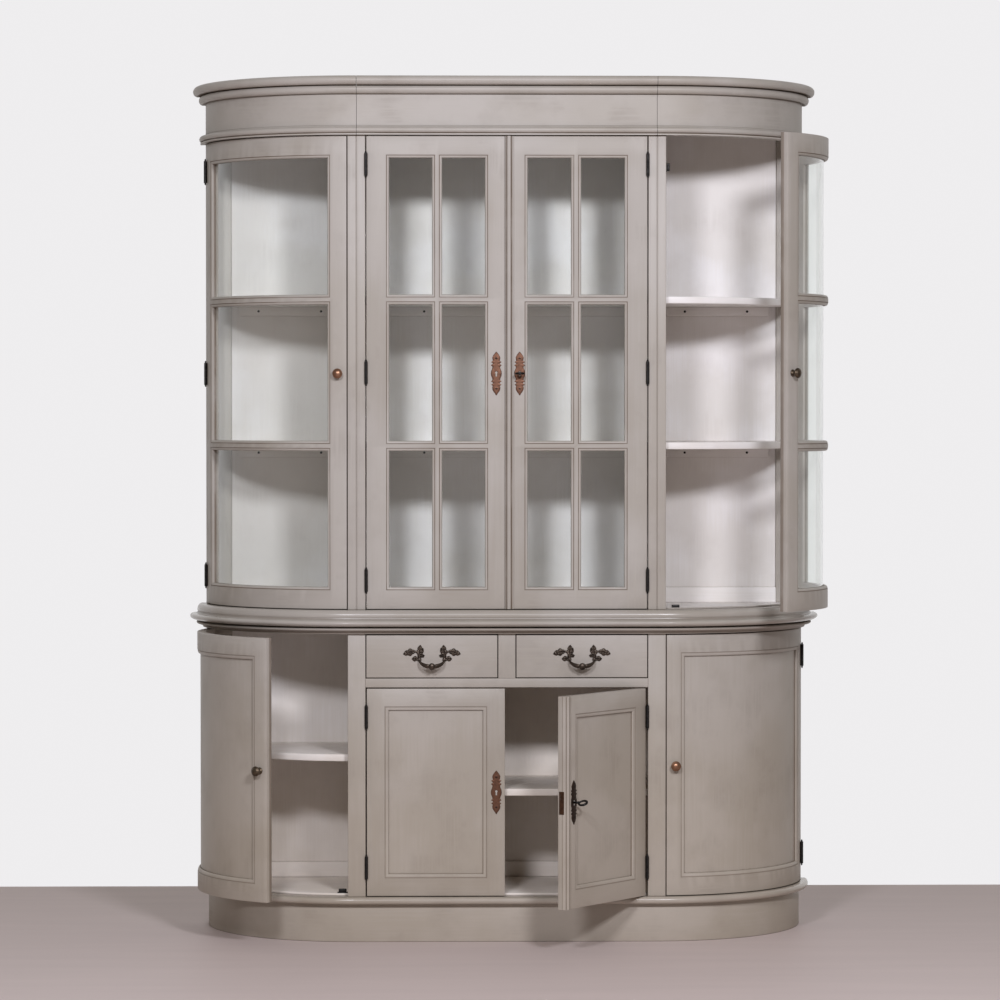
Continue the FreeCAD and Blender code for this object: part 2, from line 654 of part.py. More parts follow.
def bowed_frame(side, glazed):
    low, high = door_heights(True, glazed)
    rail, lip = ("glazed_rail", "glass_lip") if glazed else ("panel_rail", "panel_lip")
    inner = ("rear_angle + stile_angle", "free_angle - stile_angle")
    clear = (f"{low} + {rail}", f"{high} - {rail}")
    behind = f"end_radius - {lip}"

    def strip(z, angles, inside="bow_inside"):
        return bow_strip(side, "end_radius", inside, z, angles)

    rebate = bow_sector(
        side,
        behind,
        (f"{clear[0]} - rebate", f"{clear[1]} + rebate"),
        (f"{inner[0]} - rebate_angle", f"{inner[1]} + rebate_angle"),
    )
    stiles = [strip((low, high), angles) for angles in (("rear_angle", inner[0]), (inner[1], "free_angle"))]
    rails = [strip(z, inner) for z in ((low, clear[0]), (clear[1], high))]
    bars = [strip(z, inner, behind) for z in door_bars(glazed)]
    return [cut(piece, rebate) for piece in stiles + rails] + bars


def bowed_infill(side, glazed):
    low, high = door_heights(True, glazed)
    rail = "glazed_rail" if glazed else "panel_rail"
    lip, thick = ("glass_lip", "glass_thick") if glazed else ("panel_lip", "panel_thick")
    outer = f"end_radius - {lip} - seat_gap"
    spread = "stile_angle - rebate_angle + infill_angle"
    edge = f"{rail} - rebate + infill_gap"
    angles = (f"rear_angle + {spread}", f"free_angle - ({spread})")
    return bow_strip(side, outer, f"{outer} - {thick}", (f"{low} + {edge}", f"{high} - ({edge})"), angles)


def door_leaf(side):
    # The hinge leaf on the door: a plate along its edge, and the middle knuckle.
    x = flip(("leaf_seat - hinge_gap / 2", "-leaf_seat"), side)
    middle = ("knuckle_clear - third", "third - knuckle_clear")
    plate = box(x, ("hinge_out", "hinge_out + leaf_depth"), ("-hinge_height / 2", "hinge_height / 2"))
    arm = box(x, ("0", "hinge_out"), middle)
    leaf = fuse(plate, arm, post("knuckle_radius", "0", "0", middle))
    return cut(leaf, post("pin_radius + pin_clear", "0", "0", middle))


def frame_leaf(side):
    # The hinge leaf on the frame, with the two outer knuckles.
    x = flip(("leaf_seat", "hinge_gap / 2 - leaf_seat"), side)
    whole = ("-hinge_height / 2", "hinge_height / 2")
    pieces = [box(x, ("hinge_out", "hinge_out + leaf_depth"), whole)]
    for span in (("-hinge_height / 2", "-third"), ("third", "hinge_height / 2")):
        pieces.append(box(x, ("0", "hinge_out"), span))
        pieces.append(post("knuckle_radius", "0", "0", span))
    return cut(fuse(*pieces), post("pin_radius + pin_clear", "0", "0", whole))


def hinge_pin(_):
    # A pin with a finial above and below the knuckles.
    pin = post("pin_radius", "0", "0", ("-hinge_height / 2", "hinge_height / 2"))
    pieces = [pin]
    for end in (-1, 1):
        finial = doc.addObject("Part::Ellipsoid", "finial")
        bind(finial, "Radius1", "finial_height / 2")
        bind(finial, "Radius2", "finial_radius")
        bind(finial, "Radius3", "finial_radius")
        place(finial, z=f"{end} * (hinge_height / 2 + finial_height / 2)")
        pieces.append(finial)
        tip = ("hinge_height / 2", "hinge_height / 2 + finial_height / 2")
        pieces.append(post("pin_radius", "0", "0", flip(tip, end)))
    return fuse(*pieces)


def at_hinges(maker, side, bowed, heights):
    # One copy of a hinge piece at each hinge of a door.
    x, y, turn = hinge_axis(side, bowed)
    items = []
    for z in heights:
        item = maker(side)
        place(item, x, y, z)
        bind(item, "Placement.Rotation.Angle", turn)
        items.append(item)
    return items


def knob(side, z):
    # A round knob on a neck and a rose, square to the bow.
    rose = rod("knob_rose", "y", "0", ("-knob_rose_thick", "0"), "0")
    neck = rod("knob_neck", "y", "0", ("knob_radius / 2 - knob_out", "0"), "0")
    head = doc.addObject("Part::Ellipsoid", "head")
    bind(head, "Radius1", "knob_radius")
    bind(head, "Radius2", "knob_radius")
    bind(head, "Radius3", "knob_radius / 2")
    place(head, y="knob_radius / 2 - knob_out")
    item = fuse(rose, neck, head)
    x = f"{side} * (flat_half + end_radius * cos(knob_angle))"
    place(item, x, "y_back - end_radius * sin(knob_angle)", z)
    bind(item, "Placement.Rotation.Angle", f"{side} * (90 - knob_angle)")
    return item


def plate_middle(side):
    return "right_meeting + right_plate_inset" if side > 0 else "left_meeting - left_plate_inset"


def escutcheon(side, z):
    x = plate_middle(side)
    y = ("y_front - plate_thick", "y_front")
    stem = (f"{x} - plate_stem / 2", f"{x} + plate_stem / 2")
    reach = "(plate_height / 2 - plate_stem / 2)"
    pieces = [box(stem, y, (f"{z} - {reach}", f"{z} + {reach}")), rod("plate_width / 2", "y", x, y, z)]
    pieces += [rod("plate_stem / 2", "y", x, y, f"{z} {sign} {reach}") for sign in "+-"]
    return cut(fuse(*pieces), rod("keyhole_radius", "y", x, y, z))


def lock_span():
    return "right_meeting", "right_meeting + right_plate_inset + lock_past_key"


def lock_depths(room="0"):
    return f"y_front + lock_setback - {room}", f"y_front + lock_setback + lock_thick + {room}"


def lock_mortise(z):
    # The slot in the right door's meeting stile for the lock, with the keyhole in front of it.
    left, right = lock_span()
    height = "(lock_height / 2 + lock_clear)"
    x = (left, f"{right} + lock_clear")
    slot = box(x, lock_depths("lock_clear"), (f"{z} - {height}", f"{z} + {height}"))
    return fuse(slot, rod("keyhole_radius", "y", plate_middle(1), ("y_front", lock_depths()[0]), z))


def bolt_middle():
    return "y_front + lock_setback + lock_thick / 2"


def bolt_space(x, z, room):
    # A block of the bolt's section with the given room round it.
    deep = f"(bolt_thick / 2 + {room})"
    tall = f"(bolt_height / 2 + {room})"
    y = bolt_middle()
    middle = f"{z} + bolt_rise"
    return box(x, (f"{y} - {deep}", f"{y} + {deep}"), (f"{middle} - {tall}", f"{middle} + {tall}"))


def bolt_pocket(z):
    # The pocket in the left door's meeting stile that the bolt goes into.
    return bolt_space(("left_meeting - bolt_throw", "left_meeting"), z, "infill_gap")


def lock_case(z):
    left, right = lock_span()
    case = box((left, right), lock_depths(), (f"{z} - lock_height / 2", f"{z} + lock_height / 2"))
    channel = bolt_space((left, f"{left} + bolt_length + bolt_clear"), z, "bolt_clear")
    front, _ = lock_depths()
    hole = rod("key_bit + bolt_clear", "y", plate_middle(1), (front, "y_front + key_in + bolt_clear"), z)
    return cut(case, fuse(channel, hole))


def lock_bolt(z):
    left, _ = lock_span()
    return bolt_space((left, f"{left} + bolt_length"), z, "0")


def key(z):
    # A shank with a bit inside the lock and a level ring outside.
    x = plate_middle(1)
    tip = "y_front + key_in"
    ring_y = "y_front - key_out + key_bow + key_bow_thick"
    shank = rod("key_radius", "y", x, (f"{ring_y} + key_bow", tip), z)
    bit_x = (f"{x} - key_bit_thick / 2", f"{x} + key_bit_thick / 2")
    bit = box(bit_x, (f"{tip} - key_bit_length", tip), (f"{z} - key_bit", z))
    ring = doc.addObject("Part::Torus", "ring")
    bind(ring, "Radius1", "key_bow")
    bind(ring, "Radius2", "key_bow_thick")
    place(ring, x, ring_y, z)
    return fuse(shank, bit, ring)


def build_doors():
    frame_leaves = []
    pins = []
    for name, side, bowed, glazed, angle, hinges, fitting_height in DOORS:
        frame = bowed_frame(side, glazed) if bowed else flat_frame(side, glazed, fitting_height)
        infill = bowed_infill(side, glazed) if bowed else flat_infill(side, glazed)
        fitting = knob(side, fitting_height) if bowed else escutcheon(side, fitting_height)
        nodes = [
            sub_part(f"{name}_frame", *frame),
            sub_part(f"{name}_glass" if glazed else f"{name}_panel", infill),
            sub_part(f"{name}_hinge_leaves", *at_hinges(door_leaf, side, bowed, hinges)),
            sub_part(f"{name}_knob" if bowed else f"{name}_escutcheon", fitting),
        ]
        if side > 0 and not bowed:
            nodes.append(sub_part(f"{name}_lock_case", lock_case(fitting_height)))
            nodes.append(sub_part(f"{name}_lock_bolt", lock_bolt(fitting_height)))
            nodes.append(sub_part(f"{name}_key", key(fitting_height)))
        for node in nodes:
            swing(node, side, bowed, angle)
        frame_leaves += at_hinges(frame_leaf, side, bowed, hinges)
        pins += at_hinges(hinge_pin, side, bowed, hinges)
    sub_part("hinge_frame_leaves", *frame_leaves)
    sub_part("hinge_pins", *pins)


def drawer_box(side):
    front_y = ("y_front", "y_front + drawer_front")
    front = box(flip(("drawer_in", "drawer_out"), side), front_y, ("drawer_low", "drawer_high"))
    low = "drawer_floor + drawer_seat"
    z = (low, f"{low} + drawer_side_height")
    left, right = "drawer_in + drawer_clear", "drawer_out - drawer_clear"
    y = ("y_front + drawer_front", "y_front + drawer_front + drawer_depth")
    inner = (f"{left} + drawer_side", f"{right} - drawer_side")
    back_y = (f"{y[1]} - drawer_side", y[1])
    bottom = f"{low} + drawer_bottom_rise"
    return [
        front,
        box(flip((left, inner[0]), side), y, z),
        box(flip((inner[1], right), side), y, z),
        box(flip(inner, side), back_y, z),
        box(flip(inner, side), (y[0], back_y[0]), (bottom, f"{bottom} + drawer_bottom")),
    ]


def pull_leaf(name, end, x):
    # A flat oval leaf standing on the drawer front, leaning as its name says.
    outline = doc.addObject("Part::Ellipse", "outline")
    bind(outline, "MajorRadius", name)
    bind(outline, "MinorRadius", f"{name}_wide")
    blade = doc.addObject("Part::Extrusion", "blade")
    blade.Base = outline
    blade.DirMode = "Custom"
    blade.Dir = FreeCAD.Vector(0, 0, 1)
    blade.Solid = True
    bind(blade, "LengthFwd", "leaf_thick")
    blade.Placement = turned((1, 0, 0))
    leaf = doc.addObject("Part::Compound", "leaf")
    leaf.Links = [blade]
    leaf.Placement = turned((0, -1, 0))
    lean = f"{name}_angle"
    bind(leaf, "Placement.Rotation.Angle", lean if end > 0 else f"180 - {lean}")
    place(leaf, f"{x} + {end} * {name}_out", "y_front", f"pull_height + {name}_up")
    return leaf


def drawer_pull(side):
    # A bail with a knuckle in its middle, leaning out from barrels on two posts with three leaves each.
    middle = f"{side} * drawer_middle"
    bail_y = "y_front - pull_out"
    bail = doc.addObject("Part::Torus", "bail")
    bind(bail, "Radius1", "pull_half")
    bind(bail, "Radius2", "pull_bar")
    bail.Angle3 = 180
    bail.Placement = turned((-1, 0, 0))
    bind(bail, "Placement.Rotation.Angle", "90 + pull_lean")
    place(bail, middle, bail_y, "pull_height")
    knuckle_x = (f"{middle} - pull_knuckle_half", f"{middle} + pull_knuckle_half")
    knuckle_y = f"{bail_y} - pull_half * sin(pull_lean)"
    knuckle_z = "pull_height - pull_half * cos(pull_lean)"
    pieces = [bail, rod("pull_knuckle", "x", knuckle_x, knuckle_y, knuckle_z)]
    for end in (-1, 1):
        x = f"{middle} + {end} * pull_half"
        pieces.append(rod("pull_bar", "y", x, (bail_y, "y_front"), "pull_height"))
        barrel_x = (f"{x} - pull_barrel", f"{x} + pull_barrel")
        pieces.append(rod("pull_barrel", "x", barrel_x, bail_y, "pull_height"))
        for name in ("side_leaf", "top_leaf", "low_leaf"):
            pieces.append(pull_leaf(name, end, x))
    return fuse(*pieces)


def build_drawers():
    for name, side in (("left_drawer", -1), ("right_drawer", 1)):
        sub_part(name, *drawer_box(side))
        sub_part(f"{name}_pull", drawer_pull(side))


def build_door_catches():
    y = ("y_door_back + shelf_setback", "y_door_back + shelf_setback + catch_depth")
    pieces = []
    for side in (-1, 1):
        for inner, floor, high in (
            ("end_out", "hutch_floor", "hutch_high - catch_inset"),
            ("partition_out", "floor_top", "base_bowed_high - catch_inset"),
        ):
            low_x = (f"{inner} + catch_depth", f"{inner} + catch_depth + catch_length")
            pieces.append(box(flip(low_x, side), y, (floor, f"{floor} + catch_height")))
            high_x = (inner, f"{inner} + catch_height")
            pieces.append(box(flip(high_x, side), y, (high, f"{high} + catch_length")))
    sub_part("door_catches", *pieces)


build_plinth()
build_base_board()
build_base_partitions()
build_base_face_frame()
build_drawer_runners()
build_rear_posts()
build_back_panels()
build_shelves()
build_shelf_battens()
build_waist()
build_hutch_side_panels()
build_frieze()
build_roof_and_cornice()
build_doors()
build_drawers()
build_door_catches()
doc.recompute()

for item in doc.Objects:
    if "Invalid" in item.State or "Error" in item.State:
        raise RuntimeError(f"{item.Name} ({item.Label}) did not build: {item.State}")
for item in sub_parts:
    if item.Shape.isNull() or not item.Shape.isValid():
        raise RuntimeError(f"{item.Label} has no valid shape")
    if not item.Shape.Solids:
        raise RuntimeError(f"{item.Label} holds no solid")

os.makedirs("parts", exist_ok=True)
for item in sub_parts:
    item.Shape.exportStep(f"parts/{item.Label}.step")
    print(item.Label, len(item.Shape.Solids), "solids", round(item.Shape.Volume / 1000), "cm3")
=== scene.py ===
# Painted display dresser with bowed ends: glazed hutch, cupboard base, iron and bronze furniture.
# All sizes are in millimetres and are turned into metres when a piece is added.
import json
import math
import bmesh
import bpy
import numpy as np
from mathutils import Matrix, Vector


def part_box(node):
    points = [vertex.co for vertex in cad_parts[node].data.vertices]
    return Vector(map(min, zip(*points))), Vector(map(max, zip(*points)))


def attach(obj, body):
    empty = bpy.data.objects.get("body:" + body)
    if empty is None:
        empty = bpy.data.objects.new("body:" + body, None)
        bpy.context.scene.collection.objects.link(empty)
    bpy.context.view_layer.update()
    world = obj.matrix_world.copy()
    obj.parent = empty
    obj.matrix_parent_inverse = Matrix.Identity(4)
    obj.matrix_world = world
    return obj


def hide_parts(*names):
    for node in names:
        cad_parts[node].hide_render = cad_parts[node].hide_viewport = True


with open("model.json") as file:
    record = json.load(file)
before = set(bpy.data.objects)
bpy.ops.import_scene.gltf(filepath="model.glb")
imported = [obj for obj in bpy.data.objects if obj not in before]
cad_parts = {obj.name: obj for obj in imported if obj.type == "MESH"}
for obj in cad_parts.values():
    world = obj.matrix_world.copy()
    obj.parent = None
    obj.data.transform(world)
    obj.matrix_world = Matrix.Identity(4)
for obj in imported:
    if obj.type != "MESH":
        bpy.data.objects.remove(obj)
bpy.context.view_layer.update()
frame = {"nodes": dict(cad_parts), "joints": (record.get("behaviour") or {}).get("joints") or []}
mm = 0.001
joints = {joint["name"]: joint for joint in frame["joints"]}


def nodeBox(node):
    low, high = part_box(node)
    return low / mm, high / mm


def nodeHeights(node):
    low, high = nodeBox(node)
    return low.z, high.z


# Plan of the carcass: a flat front between two quarter-round ends.
roofLow, roofHigh = nodeBox("hutch_roof_boards")
radius = roofHigh.y - roofLow.y
flatHalf = roofHigh.x - radius
front = roofLow.y
back = roofHigh.y
print("plan: radius", round(radius, 1), "flat half", round(flatHalf, 1))


# Mesh helpers. A shape has points, faces, a finish number per face and a value per point of brown glaze and
# painted shade.

def gridFaces(rows, columns, wrap=False):
    # Quads between neighbouring rows and columns of points; wrap joins the last column to the first.
    r = np.arange(rows - 1)[:, None]
    c = np.arange(columns if wrap else columns - 1)[None, :]
    d = (c + 1) % columns
    quads = [r * columns + c, r * columns + d, (r + 1) * columns + d, (r + 1) * columns + c]
    return np.stack(quads, -1).reshape(-1, 4)


def makeShape(points, quads, caps=(), tints=0, capTint=0, glazeAndShade=0.0):
    points = np.asarray(points, float).reshape(-1, 3)
    return {
        "points": points,
        "quads": quads,
        "caps": [np.asarray(cap) for cap in caps],
        "tints": np.broadcast_to(tints, len(quads)),
        "capTint": capTint,
        "glazeAndShade": np.broadcast_to(glazeAndShade, len(points)),
    }


def sweptShape(points, tints=0, capTint=0, glazeAndShade=0.0):
    # Rows of points, each a closed outline, joined to one another, with a cap on the first and the last row.
    rows, count = points.shape[:2]
    caps = [np.arange(count), np.arange(count) + count * (rows - 1)]
    return makeShape(points, gridFaces(rows, count, True), caps, tints, capTint, glazeAndShade)


def addPiece(name, shapes, finishes, body, nodes=(), sharp=32, extra=None):
    # Joins the shapes into one mesh, merges seams and poles, and turns all faces outwards.
    starts = np.cumsum([0] + [len(shape["points"]) for shape in shapes])
    points = np.concatenate([shape["points"] for shape in shapes]) * mm
    faces = []
    tints = []
    for shape, start in zip(shapes, starts):
        faces += (shape["quads"] + start).tolist() + [(cap + start).tolist() for cap in shape["caps"]]
        tints += list(shape["tints"]) + [shape["capTint"]] * len(shape["caps"])
    mesh = bpy.data.meshes.new(name)
    mesh.from_pydata(points.tolist(), [], faces)
    mesh.polygons.foreach_set("material_index", np.array(tints, np.int32))
    values = {"glazeAndShade": np.concatenate([shape["glazeAndShade"] for shape in shapes])}
    values.update(extra or {})
    for label, value in values.items():
        layer = mesh.attributes.new(label, "FLOAT", "POINT")
        layer.data.foreach_set("value", np.asarray(value, np.float32))
    for finish in finishes:
        mesh.materials.append(finish)
    work = bmesh.new()
    work.from_mesh(mesh)
    bmesh.ops.remove_doubles(work, verts=work.verts, dist=4e-6)
    bmesh.ops.recalc_face_normals(work, faces=work.faces)
    work.to_mesh(mesh)
    work.free()
    mesh.shade_smooth()
    mesh.set_sharp_from_angle(angle=math.radians(sharp))
    piece = bpy.data.objects.new(name, mesh)
    bpy.context.scene.collection.objects.link(piece)
    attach(piece, body)
    if nodes:
        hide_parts(*nodes)
    return piece


def arcOf(center, radii, start, end, count=9):
    # Points on an ellipse: centre plus radii times cosine and sine, angles in degrees.
    angle = np.radians(np.linspace(start, end, count))
    return np.stack([center[0] + radii[0] * np.cos(angle), center[1] + radii[1] * np.sin(angle)], 1)


def outlineOf(*parts):
    return np.concatenate([np.atleast_2d(np.asarray(part, float)) for part in parts])


def outlineWithGlazeAndShade(*parts):
    # An outline from pairs of points and their glaze and painted shade, and that value for each of its
    # points.
    glazeAndShade = [np.broadcast_to(value, len(np.atleast_2d(points))) for points, value in parts]
    return outlineOf(*[points for points, value in parts]), np.concatenate(glazeAndShade)


def softRect(left, right, low, high, soft):
    # A rectangle's outline with its corners rounded off.
    return outlineOf(
        arcOf((right - soft, high - soft), (soft, soft), 90, 0, 4),
        arcOf((right - soft, low + soft), (soft, soft), 0, -90, 4),
        arcOf((left + soft, low + soft), (soft, soft), -90, -180, 4),
        arcOf((left + soft, high - soft), (soft, soft), 180, 90, 4),
    )


def planRail(part, first=0.0, last=90.0, steps=48):
    # Points along the face of the carcass, and the way out at each of them:
    # (cosine, -sine) of the angle round a bow from its back end, and (0, -1) along the flat front.
    angle = np.radians(np.linspace(first, last, max(3, int(steps * (last - first) / 90))))
    way = np.stack([np.cos(angle), -np.sin(angle)], 1)
    rightBow = np.array([flatHalf, back]) + radius * way
    mirror = np.array([-1.0, 1.0])
    if part == "right":
        return rightBow[::-1], way[::-1]
    if part == "left":
        return rightBow * mirror, way * mirror
    if part == "center":
        return np.array([[-centerOut, front], [centerOut, front]]), np.array([[0, -1.0], [0, -1.0]])
    return np.concatenate([rightBow * mirror, rightBow[::-1]]), np.concatenate([way * mirror, way[::-1]])


def sweepPlan(profile, part="whole", first=0.0, last=90.0, tints=0, glazeAndShade=0.0):
    # A closed profile of (reach out, height) carried along the plan: point = face point + reach * way out.
    base, way = planRail(part, first, last)
    flat = base[:, None, :] + profile[None, :, :1] * way[:, None, :]
    height = np.broadcast_to(profile[None, :, 1:], flat.shape[:2] + (1,))
    tints = np.tile(np.broadcast_to(tints, len(profile)), len(base) - 1)
    glazeAndShade = np.tile(np.broadcast_to(glazeAndShade, len(profile)), len(base))
    return sweptShape(np.concatenate([flat, height], -1), tints, glazeAndShade=glazeAndShade)


def roundBoards(boards, soft=1.2, tint=0):
    # Boxes with rounded edges: a lattice on the faces of each box, each point pushed to the soft radius
    # from the nearest point of the box shrunk by that radius.
    boards = np.asarray(boards, float).reshape(-1, 2, 3)
    low = boards[:, :1, :]
    high = boards[:, 1:, :]
    stops = np.array([0, 0.35, 1.0])
    lines = np.concatenate([low + stops[None, :, None] * soft, high - stops[None, ::-1, None] * soft], 1)
    count = lines.shape[1]
    i, j = (index.ravel() for index in np.meshgrid(np.arange(count), np.arange(count), indexing="ij"))
    sides = []
    for axis in range(3):
        others = [other for other in range(3) if other != axis]
        for end in (0, count - 1):
            side = np.empty((len(boards), count * count, 3))
            side[:, :, axis] = lines[:, end, axis][:, None]
            side[:, :, others[0]] = lines[:, i, others[0]]
            side[:, :, others[1]] = lines[:, j, others[1]]
            sides.append(side)
    points = np.concatenate(sides, 1)
    core = np.clip(points, low + soft, high - soft)
    gap = points - core
    length = np.linalg.norm(gap, axis=-1, keepdims=True)
    points = core + soft * gap / np.maximum(length, 1e-9)
    oneSide = gridFaces(count, count)
    perBoard = np.concatenate([oneSide + n * count * count for n in range(6)])
    quads = np.concatenate([perBoard + n * points.shape[1] for n in range(len(boards))])
    return makeShape(points, quads, tints=tint)


def bothSides(boards):
    # Boards on the right and their mirror images on the left.
    boards = np.asarray(boards, float).reshape(-1, 2, 3)
    return np.concatenate([boards, np.sort(boards * [-1, 1, 1], axis=1)])


def outlineSlab(outline, low, high, soft, tint=0):
    # A flat board with a given outline: loops drawn in at the edges by the soft radius, with flat ends.
    following = np.roll(outline, -1, 0)
    ahead = following - outline
    behind = outline - np.roll(outline, 1, 0)
    turnLeft = np.sign(np.sum(outline[:, 0] * following[:, 1] - outline[:, 1] * following[:, 0]))
    normals = []
    for edge in (ahead, behind):
        side = np.stack([-edge[:, 1], edge[:, 0]], 1) * turnLeft
        normals.append(side / np.linalg.norm(side, axis=1, keepdims=True))
    inward = normals[0] + normals[1]
    inward = inward / np.maximum(np.sum(inward * normals[0], 1, keepdims=True), 0.2)
    steps = [(soft, low), (0.3 * soft, low + 0.3 * soft), (0, low + soft)]
    steps += [(0, high - soft), (0.3 * soft, high - 0.3 * soft), (soft, high)]
    loops = []
    for inset, height in steps:
        flat = outline + inset * inward
        loops.append(np.column_stack([flat, np.full(len(flat), height)]))
    return sweptShape(np.stack(loops), tint, tint)


def latheShape(profile, origins, axis, count):
    # A profile of (distance along, radius) turned about an axis through each origin.
    axis = np.asarray(axis, float) / np.linalg.norm(axis)
    helper = np.array([0, 0, 1.0]) if abs(axis[2]) < 0.9 else np.array([1.0, 0, 0])
    across = np.cross(axis, helper)
    across = across / np.linalg.norm(across)
    upward = np.cross(axis, across)
    turn = np.linspace(0, 2 * np.pi, count, endpoint=False)
    ring = np.cos(turn)[:, None] * across + np.sin(turn)[:, None] * upward
    profile = np.asarray(profile, float)
    one = profile[:, :1, None] * axis + profile[:, 1:, None] * ring[None]
    origins = np.asarray(origins, float).reshape(-1, 1, 1, 3)
    points = origins + one[None]
    quads = gridFaces(len(profile), count, True)
    quads = np.concatenate([quads + n * len(profile) * count for n in range(len(origins))])
    return makeShape(points, quads)


def tubeShape(path, sizes, sideways, count, closed=False, tall=None):
    # A bar along a path: each ring is the path's point + size * cosine * one normal
    # + tall * sine * the normal nearest to sideways.
    path = np.asarray(path, float)
    along = np.gradient(path, axis=0)
    if closed:
        along = np.roll(path, -1, 0) - np.roll(path, 1, 0)
    along = along / np.linalg.norm(along, axis=1, keepdims=True)
    first = np.cross(along, sideways)
    first = first / np.linalg.norm(first, axis=1, keepdims=True)
    second = np.cross(along, first)
    turn = np.linspace(0, 2 * np.pi, count, endpoint=False)
    wide = np.broadcast_to(sizes, len(path))[:, None, None]
    tall = wide if tall is None else np.broadcast_to(tall, len(path))[:, None, None]
    points = path[:, None] + wide * np.cos(turn)[None, :, None] * first[:, None]
    points = points + tall * np.sin(turn)[None, :, None] * second[:, None]
    if closed:
        return makeShape(np.concatenate([points, points[:1]]), gridFaces(len(path) + 1, count, True))
    return sweptShape(points)


def thereAndBack(sheet):
    # Rows across the face of a relief, each followed by the same row in reverse for the back.
    return np.concatenate([sheet, sheet[:, ::-1]], 1)


def faceOnly(sheet):
    # Rows of values on the face of a relief, with nothing on the back.
    return np.concatenate([sheet, np.zeros_like(sheet)], 1)


# Materials.

def putNode(tree, kind, values=None, **settings):
    node = tree.nodes.new("ShaderNode" + kind)
    for key, value in settings.items():
        setattr(node, key, value)
    for key, value in (values or {}).items():
        if isinstance(value, bpy.types.NodeSocket):
            tree.links.new(value, node.inputs[key])
        else:
            node.inputs[key].default_value = value
    return node


def mathNode(tree, operation, *values):
    return putNode(tree, "Math", dict(enumerate(values)), operation=operation).outputs[0]


def mixColors(tree, factor, first, second, blend="MIX"):
    node = putNode(tree, "Mix", {0: factor, 6: first, 7: second}, data_type="RGBA", blend_type=blend)
    return node.outputs[2]


def rampValue(tree, value, low, high, outLow=0.0, outHigh=1.0):
    values = {"Value": value, "From Min": low, "From Max": high, "To Min": outLow, "To Max": outHigh}
    return putNode(tree, "MapRange", values, interpolation_type="SMOOTHSTEP").outputs["Result"]


def noiseValue(tree, vector, scale, detail=2.0, roughness=0.5):
    values = {"Vector": vector, "Scale": scale, "Detail": detail, "Roughness": roughness}
    return putNode(tree, "TexNoise", values).outputs["Fac"]


def newGroup(name, inputs, outputs):
    group = bpy.data.node_groups.new(name, "ShaderNodeTree")
    for label, kind in inputs.items():
        group.interface.new_socket(name=label, in_out="INPUT", socket_type="NodeSocket" + kind)
    for label, kind in outputs.items():
        group.interface.new_socket(name=label, in_out="OUTPUT", socket_type="NodeSocket" + kind)
    return group, group.nodes.new("NodeGroupInput").outputs, group.nodes.new("NodeGroupOutput").inputs


def timesVector(tree, vector, factors):
    return putNode(tree, "VectorMath", {0: vector, 1: factors}, operation="MULTIPLY").outputs[0]


finishOutputs = {"Color": "Color", "Roughness": "Float", "Height": "Float"}


def buildBrushGroup():
    # Brushed paint: fine streaks along the brush, soft blotches, and in the crevices a brown glaze that also
    # paints in the shade falling there.
    colors = {"Paint": "Color", "Glaze And Shade Color": "Color"}
    inputs = {"Vector": "Vector", "Stretch": "Vector", **colors, "Crevice": "Float", "Polish": "Float"}
    group, given, result = newGroup("brushedPaint", inputs, finishOutputs)
    stretched = timesVector(group, given["Vector"], given["Stretch"])
    streak = noiseValue(group, stretched, 1.0, 3.0, 0.6)
    blotch = noiseValue(group, given["Vector"], 3.2, 3.0, 0.55)
    grime = noiseValue(group, given["Vector"], 9.0, 4.0, 0.6)
    fine = rampValue(group, streak, 0.3, 0.7, -0.22, 0.22)
    tone = mathNode(group, "ADD", fine, rampValue(group, blotch, 0.35, 0.65, -0.6, 0.6))
    lighter = mixColors(group, 1.0, given["Paint"], (1.05, 1.05, 1.06, 1), "MULTIPLY")
    darker = mixColors(group, 1.0, given["Paint"], (0.945, 0.93, 0.905, 1), "MULTIPLY")
    color = mixColors(group, rampValue(group, tone, -0.7, 0.7), darker, lighter)
    # Warmer towards the bottom: painted warm light bounced up from the floor.
    height = putNode(group, "SeparateXYZ", {0: given["Vector"]}).outputs["Z"]
    floorBounceWarm = mixColors(group, 1.0, color, (1.0, 0.955, 0.89, 1), "MULTIPLY")
    color = mixColors(group, rampValue(group, height, 0.15, 0.9, 1.0, 0.0), color, floorBounceWarm)
    thin = rampValue(group, grime, 0.44, 0.72, 0.0, 0.16)
    wash = mathNode(group, "MULTIPLY", thin, rampValue(group, streak, 0.3, 0.6))
    uneven = rampValue(group, grime, 0.2, 0.55, 0.55, 1.0)
    amount = mathNode(group, "MAXIMUM", wash, mathNode(group, "MULTIPLY", given["Crevice"], uneven))
    group.links.new(mixColors(group, amount, color, given["Glaze And Shade Color"]), result["Color"])
    streaky = rampValue(group, streak, 0.25, 0.75, 0.41, 0.49)
    matt = mathNode(group, "ADD", streaky, mathNode(group, "MULTIPLY", amount, 0.25))
    group.links.new(mathNode(group, "SUBTRACT", matt, given["Polish"]), result["Roughness"])
    group.links.new(streak, result["Height"])
    return group


def buildPatinaGroup():
    # Aged metal: the worn metal on high places, and a dark skin in patches and hollows.
    inputs = {"Vector": "Vector", "Metal": "Color", "Skin": "Color", "Cover": "Float", "Hollow": "Float"}
    group, given, result = newGroup("agedMetal", inputs, finishOutputs)
    patches = noiseValue(group, given["Vector"], 140.0, 4.0, 0.62)
    grain = noiseValue(group, given["Vector"], 900.0, 2.0, 0.5)
    cover = mathNode(group, "ADD", mathNode(group, "ADD", patches, given["Cover"]), given["Hollow"])
    amount = rampValue(group, cover, 0.72, 1.18)
    group.links.new(mixColors(group, amount, given["Metal"], given["Skin"]), result["Color"])
    group.links.new(rampValue(group, cover, 0.5, 1.3, 0.28, 0.66), result["Roughness"])
    relief = mathNode(group, "ADD", patches, mathNode(group, "MULTIPLY", grain, 0.4))
    group.links.new(relief, result["Height"])
    return group


